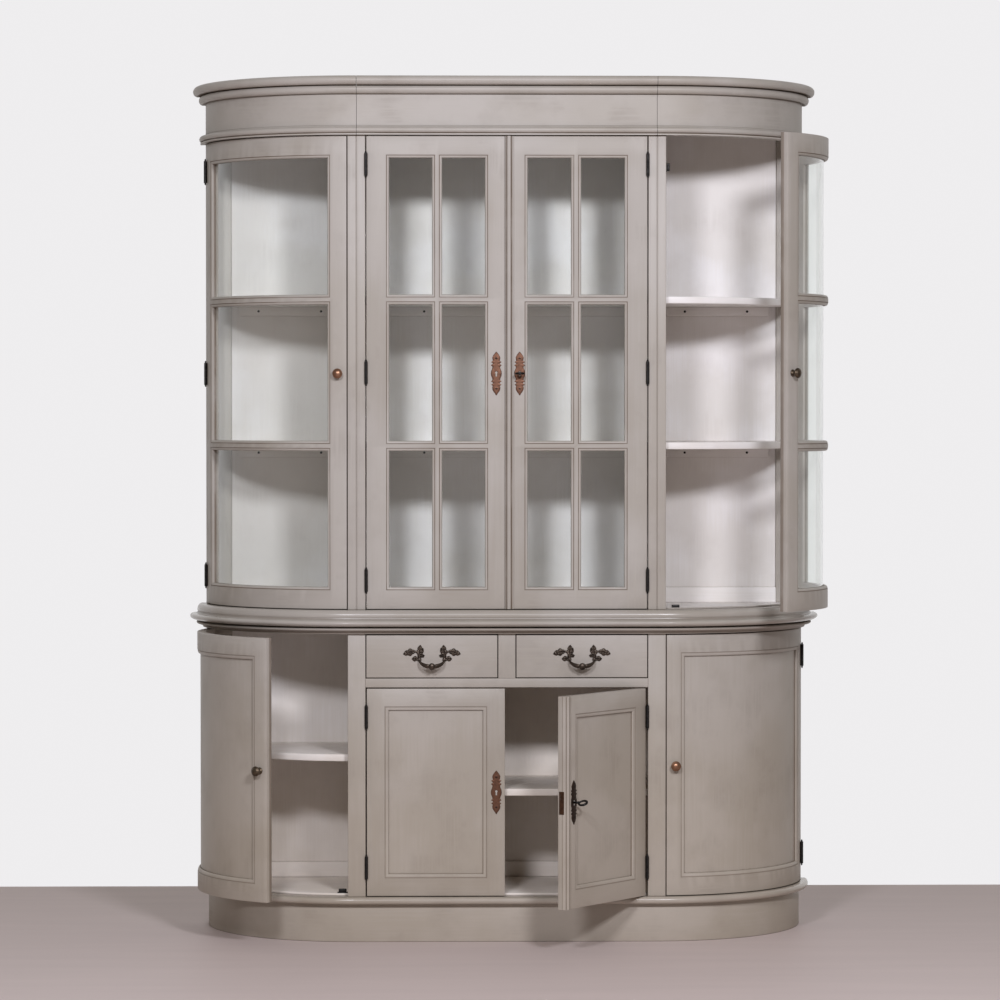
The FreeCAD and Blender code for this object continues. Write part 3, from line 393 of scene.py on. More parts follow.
def buildGrainGroup():
    # Bare wood: rings drawn out along one axis, with fine pores.
    inputs = {"Vector": "Vector", "Stretch": "Vector", "Light Wood": "Color", "Dark Wood": "Color"}
    group, given, result = newGroup("woodGrain", inputs, finishOutputs)
    stretched = timesVector(group, given["Vector"], given["Stretch"])
    bands = noiseValue(group, stretched, 1.0, 4.0, 0.6)
    pores = noiseValue(group, stretched, 6.0, 2.0, 0.5)
    value = mathNode(group, "ADD", bands, mathNode(group, "MULTIPLY", pores, 0.35))
    color = mixColors(group, rampValue(group, value, 0.5, 0.85), given["Light Wood"], given["Dark Wood"])
    group.links.new(color, result["Color"])
    group.links.new(rampValue(group, value, 0.4, 0.9, 0.5, 0.68), result["Roughness"])
    group.links.new(value, result["Height"])
    return group


brushGroup = buildBrushGroup()
patinaGroup = buildPatinaGroup()
grainGroup = buildGrainGroup()

paints = {  # crevice is the share of the glaze and painted shade that darkens the crevices
    "greige": {
        "color": (0.43, 0.40, 0.358, 1),
        "glazeAndShade": (0.115, 0.075, 0.045, 1),
        "crevice": 1.0,
        "specular": 0.42,
    },
    "white": {
        "color": (0.87, 0.845, 0.82, 1),
        "glazeAndShade": (0.42, 0.36, 0.30, 1),
        "crevice": 0.45,
        "specular": 0.35,
    },
}
brush = {
    "alongZ": (170, 170, 5),
    "alongX": (5, 5, 170),
    "bump": 0.07,
    "rubbed": 0.23,
    "creviceReach": 0.0045,
    "creviceShare": 0.8,
}
metalLook = {"hollowReach": 0.003, "bump": 0.3, "bumpDeep": 0.0003, "metallic": 0.85, "plateCover": 0.28}
woodLook = {"light": (0.60, 0.47, 0.33, 1), "dark": (0.40, 0.28, 0.18, 1), "grain": (6, 40, 90), "bump": 0.25}
glassLook = {"color": (0.94, 0.965, 0.95, 1), "through": (0.965, 0.975, 0.97, 1), "refraction": 1.46}


def newMaterial(name):
    material = bpy.data.materials.new(name)
    material.use_nodes = True
    tree = material.node_tree
    surface = tree.nodes["Principled BSDF"]
    place = putNode(tree, "TexCoord").outputs["Object"]
    return material, tree, surface, place


def creviceMask(tree):
    # Painted shade with glaze: dark where other surfaces are close by, or where the mesh marks a quirk line.
    near = putNode(tree, "AmbientOcclusion", {"Distance": brush["creviceReach"]}, samples=6).outputs["AO"]
    closeness = rampValue(tree, near, 0.30, 0.78, brush["creviceShare"], 0.0)
    marked = putNode(tree, "Attribute", attribute_name="glazeAndShade").outputs["Fac"]
    return mathNode(tree, "MAXIMUM", closeness, marked)


def finishWith(tree, surface, group, values, bump, distance=0.0004):
    outputs = putNode(tree, "Group", values, node_tree=group).outputs
    tree.links.new(outputs["Color"], surface.inputs["Base Color"])
    tree.links.new(outputs["Roughness"], surface.inputs["Roughness"])
    relief = putNode(tree, "Bump", {"Strength": bump, "Distance": distance, "Height": outputs["Height"]})
    tree.links.new(relief.outputs["Normal"], surface.inputs["Normal"])


def paintMaterial(name, paint, stretch, polish=0.0, whiteMask=None):
    # Brushed paint. With a whiteMask, a function of the tree and the place, white paint lies where it is 1.
    material, tree, surface, place = newMaterial(name)
    look, white = paints[paint], paints["white"]
    color, glazeAndShade = look["color"], look["glazeAndShade"]
    if whiteMask:
        mask = whiteMask(tree, place)
        color = mixColors(tree, mask, color, white["color"])
        glazeAndShade = mixColors(tree, mask, glazeAndShade, white["glazeAndShade"])
    crevice = mathNode(tree, "MULTIPLY", creviceMask(tree), look["crevice"])
    values = {
        "Vector": place,
        "Stretch": stretch,
        "Paint": color,
        "Glaze And Shade Color": glazeAndShade,
        "Crevice": crevice,
        "Polish": polish,
    }
    finishWith(tree, surface, brushGroup, values, brush["bump"])
    surface.inputs["Specular IOR Level"].default_value = look["specular"]
    return material


def inFrontOfBack(tree, place):
    y = putNode(tree, "SeparateXYZ", {0: place}).outputs["Y"]
    return rampValue(tree, y, (back - 2) * mm, (back - 1) * mm, 1.0, 0.0)


def metalMaterial(name, metal, skin, cover):
    # The skin covers more of the metal with a larger cover, and in hollows.
    material, tree, surface, place = newMaterial(name)
    near = putNode(tree, "AmbientOcclusion", {"Distance": metalLook["hollowReach"]}, samples=6).outputs["AO"]
    hollow = rampValue(tree, near, 0.3, 0.85, 0.35, 0.0)
    values = {"Vector": place, "Metal": metal, "Skin": skin, "Cover": cover, "Hollow": hollow}
    finishWith(tree, surface, patinaGroup, values, metalLook["bump"], metalLook["bumpDeep"])
    surface.inputs["Metallic"].default_value = metalLook["metallic"]
    return material


def plateMaterial(name, metal, skin):
    # Copper plates, dark in the screws, with the paint of the door in the keyhole.
    material = metalMaterial(name, metal, skin, metalLook["plateCover"])
    tree = material.node_tree
    surface = tree.nodes["Principled BSDF"]
    mixed = surface.inputs["Base Color"].links[0].from_socket
    screw = putNode(tree, "Attribute", attribute_name="screw").outputs["Fac"]
    hole = putNode(tree, "Attribute", attribute_name="keyhole").outputs["Fac"]
    darker = mixColors(tree, rampValue(tree, screw, 0.3, 0.7, 0.0, 0.85), mixed, (0.03, 0.022, 0.018, 1))
    shown = mixColors(tree, rampValue(tree, hole, 0.45, 0.55), darker, paints["greige"]["color"])
    tree.links.new(shown, surface.inputs["Base Color"])
    metallic = rampValue(tree, hole, 0.45, 0.55, metalLook["metallic"], 0.0)
    tree.links.new(metallic, surface.inputs["Metallic"])
    return material


def woodMaterial(name):
    material, tree, surface, place = newMaterial(name)
    values = {
        "Vector": place,
        "Stretch": woodLook["grain"],
        "Light Wood": woodLook["light"],
        "Dark Wood": woodLook["dark"],
    }
    finishWith(tree, surface, grainGroup, values, woodLook["bump"])
    return material


def glassMaterial(name):
    # Clear glass: rays from lamps and from matt surfaces pass straight through, others meet the glass.
    material, tree, surface, place = newMaterial(name)
    surface.inputs["Base Color"].default_value = glassLook["color"]
    surface.inputs["Roughness"].default_value = 0.0
    surface.inputs["IOR"].default_value = glassLook["refraction"]
    surface.inputs["Transmission Weight"].default_value = 1.0
    clear = putNode(tree, "BsdfTransparent", {"Color": glassLook["through"]}).outputs["BSDF"]
    path = putNode(tree, "LightPath").outputs
    shader = surface.outputs["BSDF"]
    for ray in ("Is Shadow Ray", "Is Diffuse Ray"):
        shader = putNode(tree, "MixShader", {0: path[ray], 1: shader, 2: clear}).outputs["Shader"]
    tree.links.new(shader, tree.nodes["Material Output"].inputs["Surface"])
    waves = noiseValue(tree, place, 7.0, 1.0)
    relief = putNode(tree, "Bump", {"Strength": 0.05, "Distance": 0.002, "Height": waves})
    tree.links.new(relief.outputs["Normal"], surface.inputs["Normal"])
    return material


paintUp = paintMaterial("paintUpright", "greige", brush["alongZ"])
paintAcross = paintMaterial("paintAcross", "greige", brush["alongX"])
rubbedPaint = paintMaterial("paintRubbedSmooth", "greige", brush["alongX"], brush["rubbed"])
backPaint = paintMaterial("whiteFrontPaintBack", "greige", brush["alongZ"], whiteMask=inFrontOfBack)
whiteAcross = paintMaterial("whitePaintAcross", "white", brush["alongX"])
bareWood = woodMaterial("bareWood")
clearGlass = glassMaterial("clearGlass")
blackIron = metalMaterial("blackIron", (0.03, 0.028, 0.027, 1), (0.008, 0.0075, 0.007, 1), 0.36)
bronzeKnob = metalMaterial("agedBronze", (0.31, 0.165, 0.10, 1), (0.07, 0.045, 0.033, 1), 0.26)
# A darker copy of the bronze for the knobs of open doors: painted shade.
shadedKnob = metalMaterial("shadedBronze", (0.12, 0.088, 0.058, 1), (0.02, 0.016, 0.013, 1), 0.34)
darkBronze = metalMaterial("darkBronze", (0.11, 0.085, 0.066, 1), (0.016, 0.012, 0.01, 1), 0.34)
lockBrass = metalMaterial("brownBrass", (0.11, 0.055, 0.032, 1), (0.035, 0.02, 0.013, 1), 0.32)
copperPlate = plateMaterial("copperPlate", (0.165, 0.08, 0.05, 1), (0.045, 0.026, 0.019, 1))
# A darker copy of the copper for the plates of open doors: painted shade.
shadedPlate = plateMaterial("shadedPlate", (0.05, 0.032, 0.023, 1), (0.014, 0.01, 0.008, 1))
print("materials made")


# Carcass.
boards = {
    "plinthSetback": 5,
    "plinthBoard": 18,
    "plinthLap": 2,
    "boardThick": 18,
    "boardReach": 19,
    "floorSetback": 26,
    "legDepth": 18,
    "backThick": 8,
    "backRail": 40,
    "postAngle": 10,
    "postLeg": 45,
    "doorThick": 22,
    "doorGap": 3,
    "whiteGap": 3,
    "drawerRail": 23,
    "sidePanel": 21.5,
    "unitGap": 2,
    "stripLap": 0.5,
    "stripDepths": (1.3, 6),
    "partition": 20,
    "muntin": 44,
    "bearer": 16,
    "guide": 30,
    "coveThick": 19,
    "coveReach": 26,
    "coveLow": 9,
    "topReach": 43,
    "hutchReach": 24,
    "friezeThick": 20,
    "friezeGap": 1,
    "friezeBead": 20,
    "friezeReach": 17,
    "ledgeReach": 18,
    "crownReach": 33,
    "crownSeat": 20,
    "roofBevel": 1,
}
plinthTop = nodeHeights("plinth")[1]
boardTop = plinthTop + boards["boardThick"]
floorTop = nodeHeights("base_board")[1]
baseTop, topTop = nodeHeights("dresser_top")
coveTop = baseTop + boards["coveThick"]
hutchFloor = nodeHeights("hutch_bottom_board")[1]
friezeLow, friezeTop = nodeHeights("frieze")
crownTop = nodeHeights("cornice")[1]
railLow = nodeHeights("base_center_left_door_frame")[1] + boards["doorGap"]
drawerLow = railLow + boards["drawerRail"]
whiteStart = -boards["doorThick"] - boards["whiteGap"]
units = ("left", "center", "right")
insideFront = front + boards["doorThick"]
insideBack = back - boards["backThick"]
centerOut = flatHalf - boards["unitGap"] / 2
centerIn = centerOut - boards["sidePanel"]
endIn = flatHalf + boards["unitGap"] / 2
endOut = endIn + boards["sidePanel"]
partIn = flatHalf - boards["partition"] / 2
partOut = flatHalf + boards["partition"] / 2
bowInside = radius - boards["doorThick"]
postIn = flatHalf + bowInside - boards["postLeg"]


def halfRound(reach, low, high):
    # The nose of a board: half a circle between its lower and upper faces.
    nose = (high - low) / 2
    return arcOf((reach - nose, (low + high) / 2), (nose, nose), 90, -90, 13)


def addPlinth():
    low = -boards["plinthSetback"] - boards["plinthBoard"]
    shell = sweepPlan(softRect(low, -boards["plinthSetback"], 0, plinthTop, 1.5))
    wide = flatHalf + radius + low
    rear = [(-wide, back - boards["plinthBoard"], 0), (wide, back, plinthTop)]
    half = boards["plinthBoard"] / 2
    middle = [(-half, front - low - boards["plinthLap"], 0), (half, back, plinthTop)]
    shapes = [shell, roundBoards([rear, middle])]
    addPiece("plinthBoards", shapes, [paintAcross], "carcass", ["plinth"])


def addBaseBoard():
    edge = halfRound(boards["boardReach"], plinthTop, boardTop)
    nose = sweepPlan(outlineOf((-radius, boardTop), edge, (-radius, plinthTop)))
    inner = radius - boards["floorSetback"]
    first = math.degrees(math.asin(boards["legDepth"] / inner))
    base, way = planRail("whole", first)
    floor = outlineSlab(base - boards["floorSetback"] * way, boardTop, floorTop, 1.5, 1)
    addPiece("baseBoard", [nose, floor], [rubbedPaint, whiteAcross], "carcass", ["base_board"])


def addBaseFrame():
    sides = bothSides([(partIn, insideFront, floorTop), (partOut, insideBack, baseTop)])
    addPiece("basePartitions", [roundBoards(sides)], [paintUp], "carcass", ["base_partitions"])
    stiles = bothSides([(centerIn, front, boardTop), (endOut, insideFront, baseTop)])
    half = boards["muntin"] / 2
    muntin = [(-half, front, drawerLow), (half, insideFront, baseTop)]
    rail = [(-centerIn, front, railLow), (centerIn, insideFront, drawerLow)]
    shapes = [roundBoards(np.concatenate([stiles, [muntin]])), roundBoards([rail], tint=1)]
    addPiece("baseFaceFrame", shapes, [paintUp, paintAcross], "carcass", ["base_face_frame"])
    runBack = back - boards["legDepth"]
    bearer = [(-partIn, insideFront, drawerLow - boards["bearer"]), (partIn, runBack, drawerLow)]
    guideTop = drawerLow + boards["guide"]
    guides = bothSides([(centerIn, insideFront, drawerLow), (partIn, runBack, guideTop)])
    middle = [(-half, insideFront, drawerLow), (half, runBack, guideTop)]
    shapes = [roundBoards(np.concatenate([[bearer], guides, [middle]]))]
    addPiece("drawerRunners", shapes, [bareWood], "carcass", ["drawer_runners"])


def addRearPosts():
    shapes = []
    for low, high, legTop in ((boardTop, baseTop, baseTop), (hutchFloor, friezeLow, friezeTop)):
        section = softRect(-boards["doorThick"], 0, low, high, 1.2)
        for part in ("left", "right"):
            shapes.append(sweepPlan(section, part, 0, boards["postAngle"]))
        leg = [(postIn, back - boards["legDepth"], low), (flatHalf + bowInside, back, legTop)]
        shapes.append(roundBoards(bothSides(leg)))
    addPiece("rearPosts", shapes, [paintUp], "carcass", ["rear_posts"])


def addBackPanels():
    railBack = back - boards["legDepth"]
    panels = [
        [(-postIn, insideBack, boardTop), (postIn, back, baseTop)],
        [(-centerOut, insideBack, hutchFloor), (centerOut, back, friezeTop)],
    ]
    panels = np.concatenate([panels, bothSides([(endIn, insideBack, hutchFloor), (postIn, back, friezeTop)])])
    baseRail = floorTop + boards["backRail"]
    hutchRail = hutchFloor + boards["backRail"]
    rails = [
        [(-partIn, railBack, floorTop), (partIn, insideBack, baseRail)],
        [(-centerIn, railBack, hutchFloor), (centerIn, insideBack, hutchRail)],
    ]
    ends = [
        [(partOut, railBack, floorTop), (postIn, insideBack, baseRail)],
        [(endOut, railBack, hutchFloor), (postIn, insideBack, hutchRail)],
    ]
    rails = np.concatenate([rails, bothSides(ends)])
    shapes = [roundBoards(panels, 0.8), roundBoards(rails, 1.5, 1)]
    addPiece("backPanels", shapes, [backPaint, whiteAcross], "carcass", ["back_panels"])


waist = {
    "recessTall": 3.5,
    "recessReach": 11,
    "beadTall": 7.5,
    "beadRound": 5,
    "hollow": 10,
    "tipShare": 0.56,
    "upperRound": 13,
    "lowerRound": 17,
    "swell": (13, 15),
    "quirk": [(-1.2, 5.2), (-0.6, 2.6), (2.4, 0.4), (2.8, 0)],
}


def addWaist():
    # Under the top a recess, a bead and a hollow; the top has a pointed nose, and above it the hutch's board
    # swells out and runs into the top with a soft quirk.
    recess = coveTop - waist["recessTall"]
    beadLow = recess - waist["beadTall"]
    beadMiddle = (boards["coveReach"] - waist["beadRound"], (recess + beadLow) / 2)
    bead = arcOf(beadMiddle, (waist["beadRound"], waist["beadTall"] / 2), 90, -90, 9)
    hollowMiddle = (boards["coveLow"] + waist["hollow"], baseTop)
    hollow = arcOf(hollowMiddle, (waist["hollow"], beadLow - baseTop), 90, 180, 8)
    # Glaze values darken the recess, the bead and the hollow: brown glaze with painted shade under the nose.
    cove, glazeAndShade = outlineWithGlazeAndShade(
        ((-radius, coveTop), 0),
        ([(waist["recessReach"], coveTop), (waist["recessReach"], recess)], 0.9),
        (bead, 0.3),
        (hollow, 0.5),
        ([(whiteStart, baseTop), (-radius, baseTop)], 0),
    )
    tints = np.zeros(len(cove), int)
    tints[-2] = 2
    tip = coveTop + waist["tipShare"] * (topTop - coveTop)
    upper, lower = waist["upperRound"], waist["lowerRound"]
    upperNose = arcOf((boards["topReach"] - upper, tip), (upper, topTop - tip), 90, 0, 9)
    lowerNose = arcOf((boards["topReach"] - lower, tip), (lower, tip - coveTop), 0, -90, 12)[1:]
    top = outlineOf((-radius, topTop), upperNose, lowerNose, (-radius, coveTop))
    shapes = [sweepPlan(cove, tints=tints, glazeAndShade=glazeAndShade), sweepPlan(top, tints=1)]
    finishes = [paintAcross, rubbedPaint, whiteAcross]
    addPiece("dresserTop", shapes, finishes, "carcass", ["dresser_top"])
    swellReach, swellTall = waist["swell"]
    swellMiddle = (boards["hutchReach"] - swellReach, hutchFloor - swellTall)
    # Glaze values mark the quirk where the board meets the top: a brown line of glaze with painted shade.
    board, glazeAndShade = outlineWithGlazeAndShade(
        ([(-radius, hutchFloor), (whiteStart, hutchFloor)], 0.08),
        (arcOf(swellMiddle, waist["swell"], 90, -12, 13), [0.08] * 12 + [0.15]),
        (np.array(waist["quirk"]) + [boards["hutchReach"], topTop], [0.4, 0.5, 0.35, 0.08]),
        ((-radius, topTop), 0.08),
    )
    tints = np.zeros(len(board), int)
    tints[0] = 1
    shapes = [sweepPlan(board, tints=tints, glazeAndShade=glazeAndShade)]
    finishes = [rubbedPaint, whiteAcross]
    addPiece("hutchBottomBoard", shapes, finishes, "carcass", ["hutch_bottom_board"])


def addHutchSides():
    notch = front + boards["friezeThick"] + boards["friezeGap"]
    panels = []
    for left, right in ((centerIn, centerOut), (endIn, endOut)):
        panels.append([(left, front, hutchFloor), (right, insideBack, friezeLow)])
        panels.append([(left, notch, friezeLow), (right, insideBack, friezeTop)])
    # A strip closes the gap between the units just behind their faces.
    near, far = boards["stripDepths"]
    left, right = centerOut - boards["stripLap"], endIn + boards["stripLap"]
    panels.append([(left, front + near, hutchFloor), (right, front + far, friezeLow)])
    shapes = [roundBoards(bothSides(panels), 1.5)]
    addPiece("hutchSidePanels", shapes, [paintUp], "carcass", ["hutch_side_panels"])


friezeBand = {
    "fillet": 5.4,
    "quirk": [(0, 5), (-0.5, 4.4), (-0.5, 3.6), (0, 3), (0.4, 0.6)],
    "groove": [(-6.4, 4.9), (-6.4, 3.4), (-3.2, 3.2), (-3, 0)],
}


def addFrieze():
    # Flat face with a shallow quirk, and along the bottom a round bead, a groove and a fillet.
    beadTop = friezeLow + boards["friezeBead"]
    nose = (boards["friezeBead"] - friezeBand["fillet"]) / 2
    reach = boards["friezeReach"]
    bead = arcOf((reach - nose, beadTop - nose), (nose, nose), 90, -78, 12)
    thick = -boards["friezeThick"]
    # Glaze values darken the quirk, the foot of the bead and the groove: brown glaze with painted shade.
    profile, glazeAndShade = outlineWithGlazeAndShade(
        ((0, friezeTop), 0),
        (np.array(friezeBand["quirk"]) + [0, beadTop], [0, 0.3, 0.3, 0, 0.3]),
        (bead, [0.3] + [0] * 10 + [0.7]),
        (np.array(friezeBand["groove"]) + [reach, friezeLow], [1.0, 0.8, 0, 0]),
        ([(thick, friezeLow), (thick, friezeTop)], 0),
    )
    tints = np.zeros(len(profile), int)
    tints[-2] = 1
    shapes = [sweepPlan(profile, unit, tints=tints, glazeAndShade=glazeAndShade) for unit in units]
    addPiece("frieze", shapes, [paintAcross, whiteAcross], "carcass", ["frieze"])


def addRoofAndCornice():
    roofTop = roofHigh.z
    bevel = boards["roofBevel"]
    upper = [(-radius, roofTop), (-bevel, roofTop), (0, roofTop - bevel)]
    lower = [(0, friezeTop + bevel), (-bevel, friezeTop), (-boards["doorThick"], friezeTop)]
    lower.append((-radius, friezeTop))
    shapes = [sweepPlan(outlineOf(upper, lower), unit) for unit in units]
    addPiece("hutchRoofBoards", shapes, [paintAcross], "carcass", ["hutch_roof_boards"])
    seat = -boards["crownSeat"]
    # Glaze values darken the lines between the rounds and the frieze: painted shade in the gaps, with glaze.
    profile, glazeAndShade = outlineWithGlazeAndShade(
        ((seat, crownTop), 0),
        (halfRound(boards["crownReach"], roofTop, crownTop), [0] * 12 + [0.85]),
        (halfRound(boards["ledgeReach"], friezeTop, roofTop), [0.85] + [0] * 11 + [0.85]),
        ((0, friezeTop), 0.85),
        ([(0, roofTop), (seat, roofTop)], 0),
    )
    shapes = [sweepPlan(profile, unit, glazeAndShade=glazeAndShade) for unit in units]
    addPiece("cornice", shapes, [paintAcross], "carcass", ["cornice"])


def addDoorStops():
    # Thin strips on the hutch floor, just behind the doors.
    stop = {"gap": 0.6, "deep": 5.5, "tall": 4}
    near = boards["doorThick"] + stop["gap"]
    far = near + stop["deep"]
    top = hutchFloor + stop["tall"]
    last = math.degrees(math.acos((endOut - flatHalf) / (radius - far)))
    section = softRect(-far, -near, hutchFloor, top, 0.8)
    shapes = [sweepPlan(section, part, boards["postAngle"] + 0.5, last) for part in ("left", "right")]
    shapes.append(roundBoards([[(-centerIn, front + near, hutchFloor), (centerIn, front + far, top)]], 0.8))
    addPiece("doorStops", shapes, [paintAcross], "carcass")


addPlinth()
addBaseBoard()
addBaseFrame()
addRearPosts()
addBackPanels()
addWaist()
addHutchSides()
addFrieze()
addRoofAndCornice()
addDoorStops()
print("carcass done")


# Doors. A place on a door is (u, z, depth): u runs along its face, along the bow on the end doors.
doorSizes = {
    "soft": 1.2,
    "grow": 0.8,
    "bowGrow": -0.8,
    "lipGap": 0.4,
    "glazedStile": 57,
    "meetingStile": 50,
    "glazedRail": 55,
    "bar": 26,
    "panelStile": 58,
    "panelRail": 58,
    "bowedStile": 51,
    "ring": 8,
    "panelRing": 10.5,
    "panelWiden": 3,
    "glassDepth": 12.1,
    "glassThick": 4,
    "panelDepth": 8.1,
    "panelThick": 8,
    "glassHidden": 0.5,
    "panelHidden": 5,
    "panelFade": 3.6,
    "bowStep": 12,
    "flatStep": 1000,
    "rebateDepths": (8.4, 9.6),
    "rebateProud": 0.25,
    "lipStart": 12,
}
mouldings = {
    "paneDrop": 6.5,
    # Glaze values of the mouldings are brown glaze with painted shade.
    "paneGlazeAndShade": 0.95,
    "panelDrop": 5.0,
    "panelGlazeAndShade": 0.45,
    "quirkWide": 1.7,
    "quirkDeep": 0.9,
    "backWall": 5,
    "backSlope": 1,
}
doorNames = [
    "hutch_left_end_door", "hutch_center_left_door", "hutch_center_right_door", "hutch_right_end_door",
    "base_left_end_door", "base_center_left_door", "base_center_right_door", "base_right_end_door",
]


def bowPlace(x):
    # Distance along the bow, from its back end, of a point of the face at the given X.
    return radius * math.acos((abs(x) - flatHalf) / radius)


def doorFacts(name):
    # Edges from the closed doors of the frame; the angle at rest and the hinge line from the joint.
    side = -1 if "left" in name else 1
    bowed = "_end_" in name
    glazed = name.startswith("hutch")
    joint = joints[name + "_swing"]
    if bowed:
        low, high = nodeBox("hutch_left_end_door_frame" if glazed else "base_right_end_door_frame")
        outer, inner = max(abs(low.x), abs(high.x)), min(abs(low.x), abs(high.x))
        edges = (bowPlace(outer), bowPlace(inner))
        stiles = (doorSizes["bowedStile"], doorSizes["bowedStile"])
    else:
        closed = "hutch_center_left_door_frame" if side < 0 else "hutch_center_right_door_frame"
        low, high = nodeBox(closed)
        edges = (low.x, high.x)
        plain = doorSizes["glazedStile" if glazed else "panelStile"]
        stiles = (plain, doorSizes["meetingStile"] if glazed and side < 0 else plain)
        low, high = nodeBox("hutch_center_left_door_frame" if glazed else "base_center_left_door_frame")
    # A little larger than the solid, so that the gaps round the door are as fine as the real ones,
    # apart from the free edge of a bowed door, where the gap is wide and a lip stands behind it.
    grow = doorSizes["grow"]
    free = doorSizes["bowGrow"] if bowed else grow
    rail = doorSizes["glazedRail" if glazed else "panelRail"]
    widen = 0 if glazed else doorSizes["panelWiden"]
    return {
        "name": name,
        "side": side,
        "bowed": bowed,
        "glazed": glazed,
        "edges": (edges[0] - grow, edges[1] + free),
        "heights": (low.z - grow, high.z + (grow if glazed else 0)),
        "stiles": (stiles[0] + grow - widen, stiles[1] + free - widen),
        "rail": rail + grow - widen,
        "ring": doorSizes["ring" if glazed else "panelRing"],
        "turn": -math.radians(joint["range_deg"][0]) * joint["axis"][2],
        "hinge": (joint["pos_m"][0] / mm, joint["pos_m"][1] / mm),
    }


def swung(door, points):
    # Points of a closed door, turned about its hinge line to where it stands at rest.
    cosine, sine = math.cos(door["turn"]), math.sin(door["turn"])
    x = points[..., 0] - door["hinge"][0]
    y = points[..., 1] - door["hinge"][1]
    turnedX = door["hinge"][0] + x * cosine - y * sine
    turnedY = door["hinge"][1] + x * sine + y * cosine
    return np.stack([turnedX, turnedY, points[..., 2]], -1)


def onDoor(door, u, z, depth):
    # Flat: (u, front + depth, z).
    # Bowed: the bow's centre plus (radius - depth) times (cosine, -sine) of u / radius.
    u, z, depth = np.broadcast_arrays(u, z, depth)
    if door["bowed"]:
        angle = u / radius
        x = door["side"] * (flatHalf + (radius - depth) * np.cos(angle))
        y = back - (radius - depth) * np.sin(angle)
    else:
        x = u
        y = front + depth
    return swung(door, np.stack([x, y, z], -1).astype(float))


def linesAcross(breaks, step):
    # Every break, with even steps between neighbouring breaks.
    runs = []
    for low, high in zip(breaks[:-1], breaks[1:]):
        runs.append(np.linspace(low, high, max(1, math.ceil((high - low) / step)) + 1)[:-1])
    return np.append(np.concatenate(runs), breaks[-1])


def squeezed(lines, spans, inset):
    # The lines inside each span, drawn in towards its middle by the inset at its ends.
    moved = lines.copy()
    for low, high in spans:
        inside = (lines > low - 1e-6) & (lines < high + 1e-6)
        moved[inside] = low + inset + (lines[inside] - low) * (high - low - 2 * inset) / (high - low)
    return moved


def facePlate(door, us, zs, holesU, holesZ, depth, railTint=0, glazeAndShade=0.0):
    # A grid over the door at one depth, without the cells that lie in the holes.
    points = onDoor(door, us[None, :], zs[:, None], depth)
    middleU = ((us[1:] + us[:-1]) / 2)[None, :]
    middleZ = ((zs[1:] + zs[:-1]) / 2)[:, None]
    inU = np.zeros(middleU.shape, bool)
    inZ = np.zeros(middleZ.shape, bool)
    for low, high in holesU:
        inU |= (middleU > low) & (middleU < high)
    for low, high in holesZ:
        inZ |= (middleZ > low) & (middleZ < high)
    solid = ~(inU & inZ)
    rail = np.broadcast_to(inU & ~inZ, solid.shape)
    quads = gridFaces(len(zs), len(us)).reshape(len(zs) - 1, len(us) - 1, 4)
    return makeShape(points, quads[solid], tints=np.where(rail, railTint, 0)[solid], glazeAndShade=glazeAndShade)


def ringBand(door, us, zs, steps, glazeAndShade=0.0):
    # Loops round a rectangle: each step (inset, depth) draws the rectangle in and sinks it.
    low, high = us[0], us[-1]
    bottom, top = zs[0], zs[-1]
    loopU = np.concatenate([us[:-1], np.full(len(zs) - 1, high), us[:0:-1], np.full(len(zs) - 1, low)])
    loopZ = np.concatenate([np.full(len(us) - 1, bottom), zs[:-1], np.full(len(us) - 1, top), zs[:0:-1]])
    steps = np.asarray(steps, float)
    inset = steps[:, :1]
    u = low + inset + (loopU - low)[None] * (high - low - 2 * inset) / (high - low)
    z = bottom + inset + (loopZ - bottom)[None] * (top - bottom - 2 * inset) / (top - bottom)
    points = onDoor(door, u, z, steps[:, 1:])
    glazeAndShade = np.repeat(np.broadcast_to(glazeAndShade, len(steps)), len(loopU))
    return makeShape(points, gridFaces(len(steps), len(loopU), True), glazeAndShade=glazeAndShade)


def paneSpans(door):
    # Clear openings of a door, across and upwards, each as wide as the sight of its pane or panel.
    low, high = door["edges"]
    left, right = low + door["stiles"][0], high - door["stiles"][1]
    bottom, top = door["heights"][0] + door["rail"], door["heights"][1] - door["rail"]
    if not door["glazed"]:
        return [(left, right)], [(bottom, top)]
    bar = doorSizes["bar"]
    pane = (top - bottom - 2 * bar) / 3
    spansZ = [(bottom + n * (pane + bar), bottom + n * (pane + bar) + pane) for n in range(3)]
    if door["bowed"]:
        return [(left, right)], spansZ
    middle = (left + right) / 2
    return [(left, middle - bar / 2), (middle + bar / 2, right)], spansZ


def ringSteps(door):
    # Section of the moulding round a pane: a quirk groove, a quarter-round and a wall down to the pane,
    # then behind the pane a plain edge out to the back of the door. Each is (inset, depth, glaze and painted
    # shade).
    ring = door["ring"]
    drop = mouldings["paneDrop" if door["glazed"] else "panelDrop"]
    dark = mouldings["paneGlazeAndShade" if door["glazed"] else "panelGlazeAndShade"]
    wide, deep = mouldings["quirkWide"], mouldings["quirkDeep"]
    turn = np.radians(np.linspace(0, 90, 7))
    glazeAndShade = [0.55] + [0] * 5 + [0.2]
    curve = np.column_stack([wide + (ring - wide) * np.sin(turn), drop - (drop - deep) * np.cos(turn), glazeAndShade])
    seat = doorSizes["glassDepth" if door["glazed"] else "panelDepth"]
    start = [(0, 0, 0.15), (0.3, 1.1, dark), (1.2, 1.3, dark)]
    end = [(ring, seat, 1.0), (ring, seat + mouldings["backWall"], 0.0)]
    end += [(ring - mouldings["backSlope"], boards["doorThick"], 0.0)]
    return np.array(start + curve.tolist() + end)


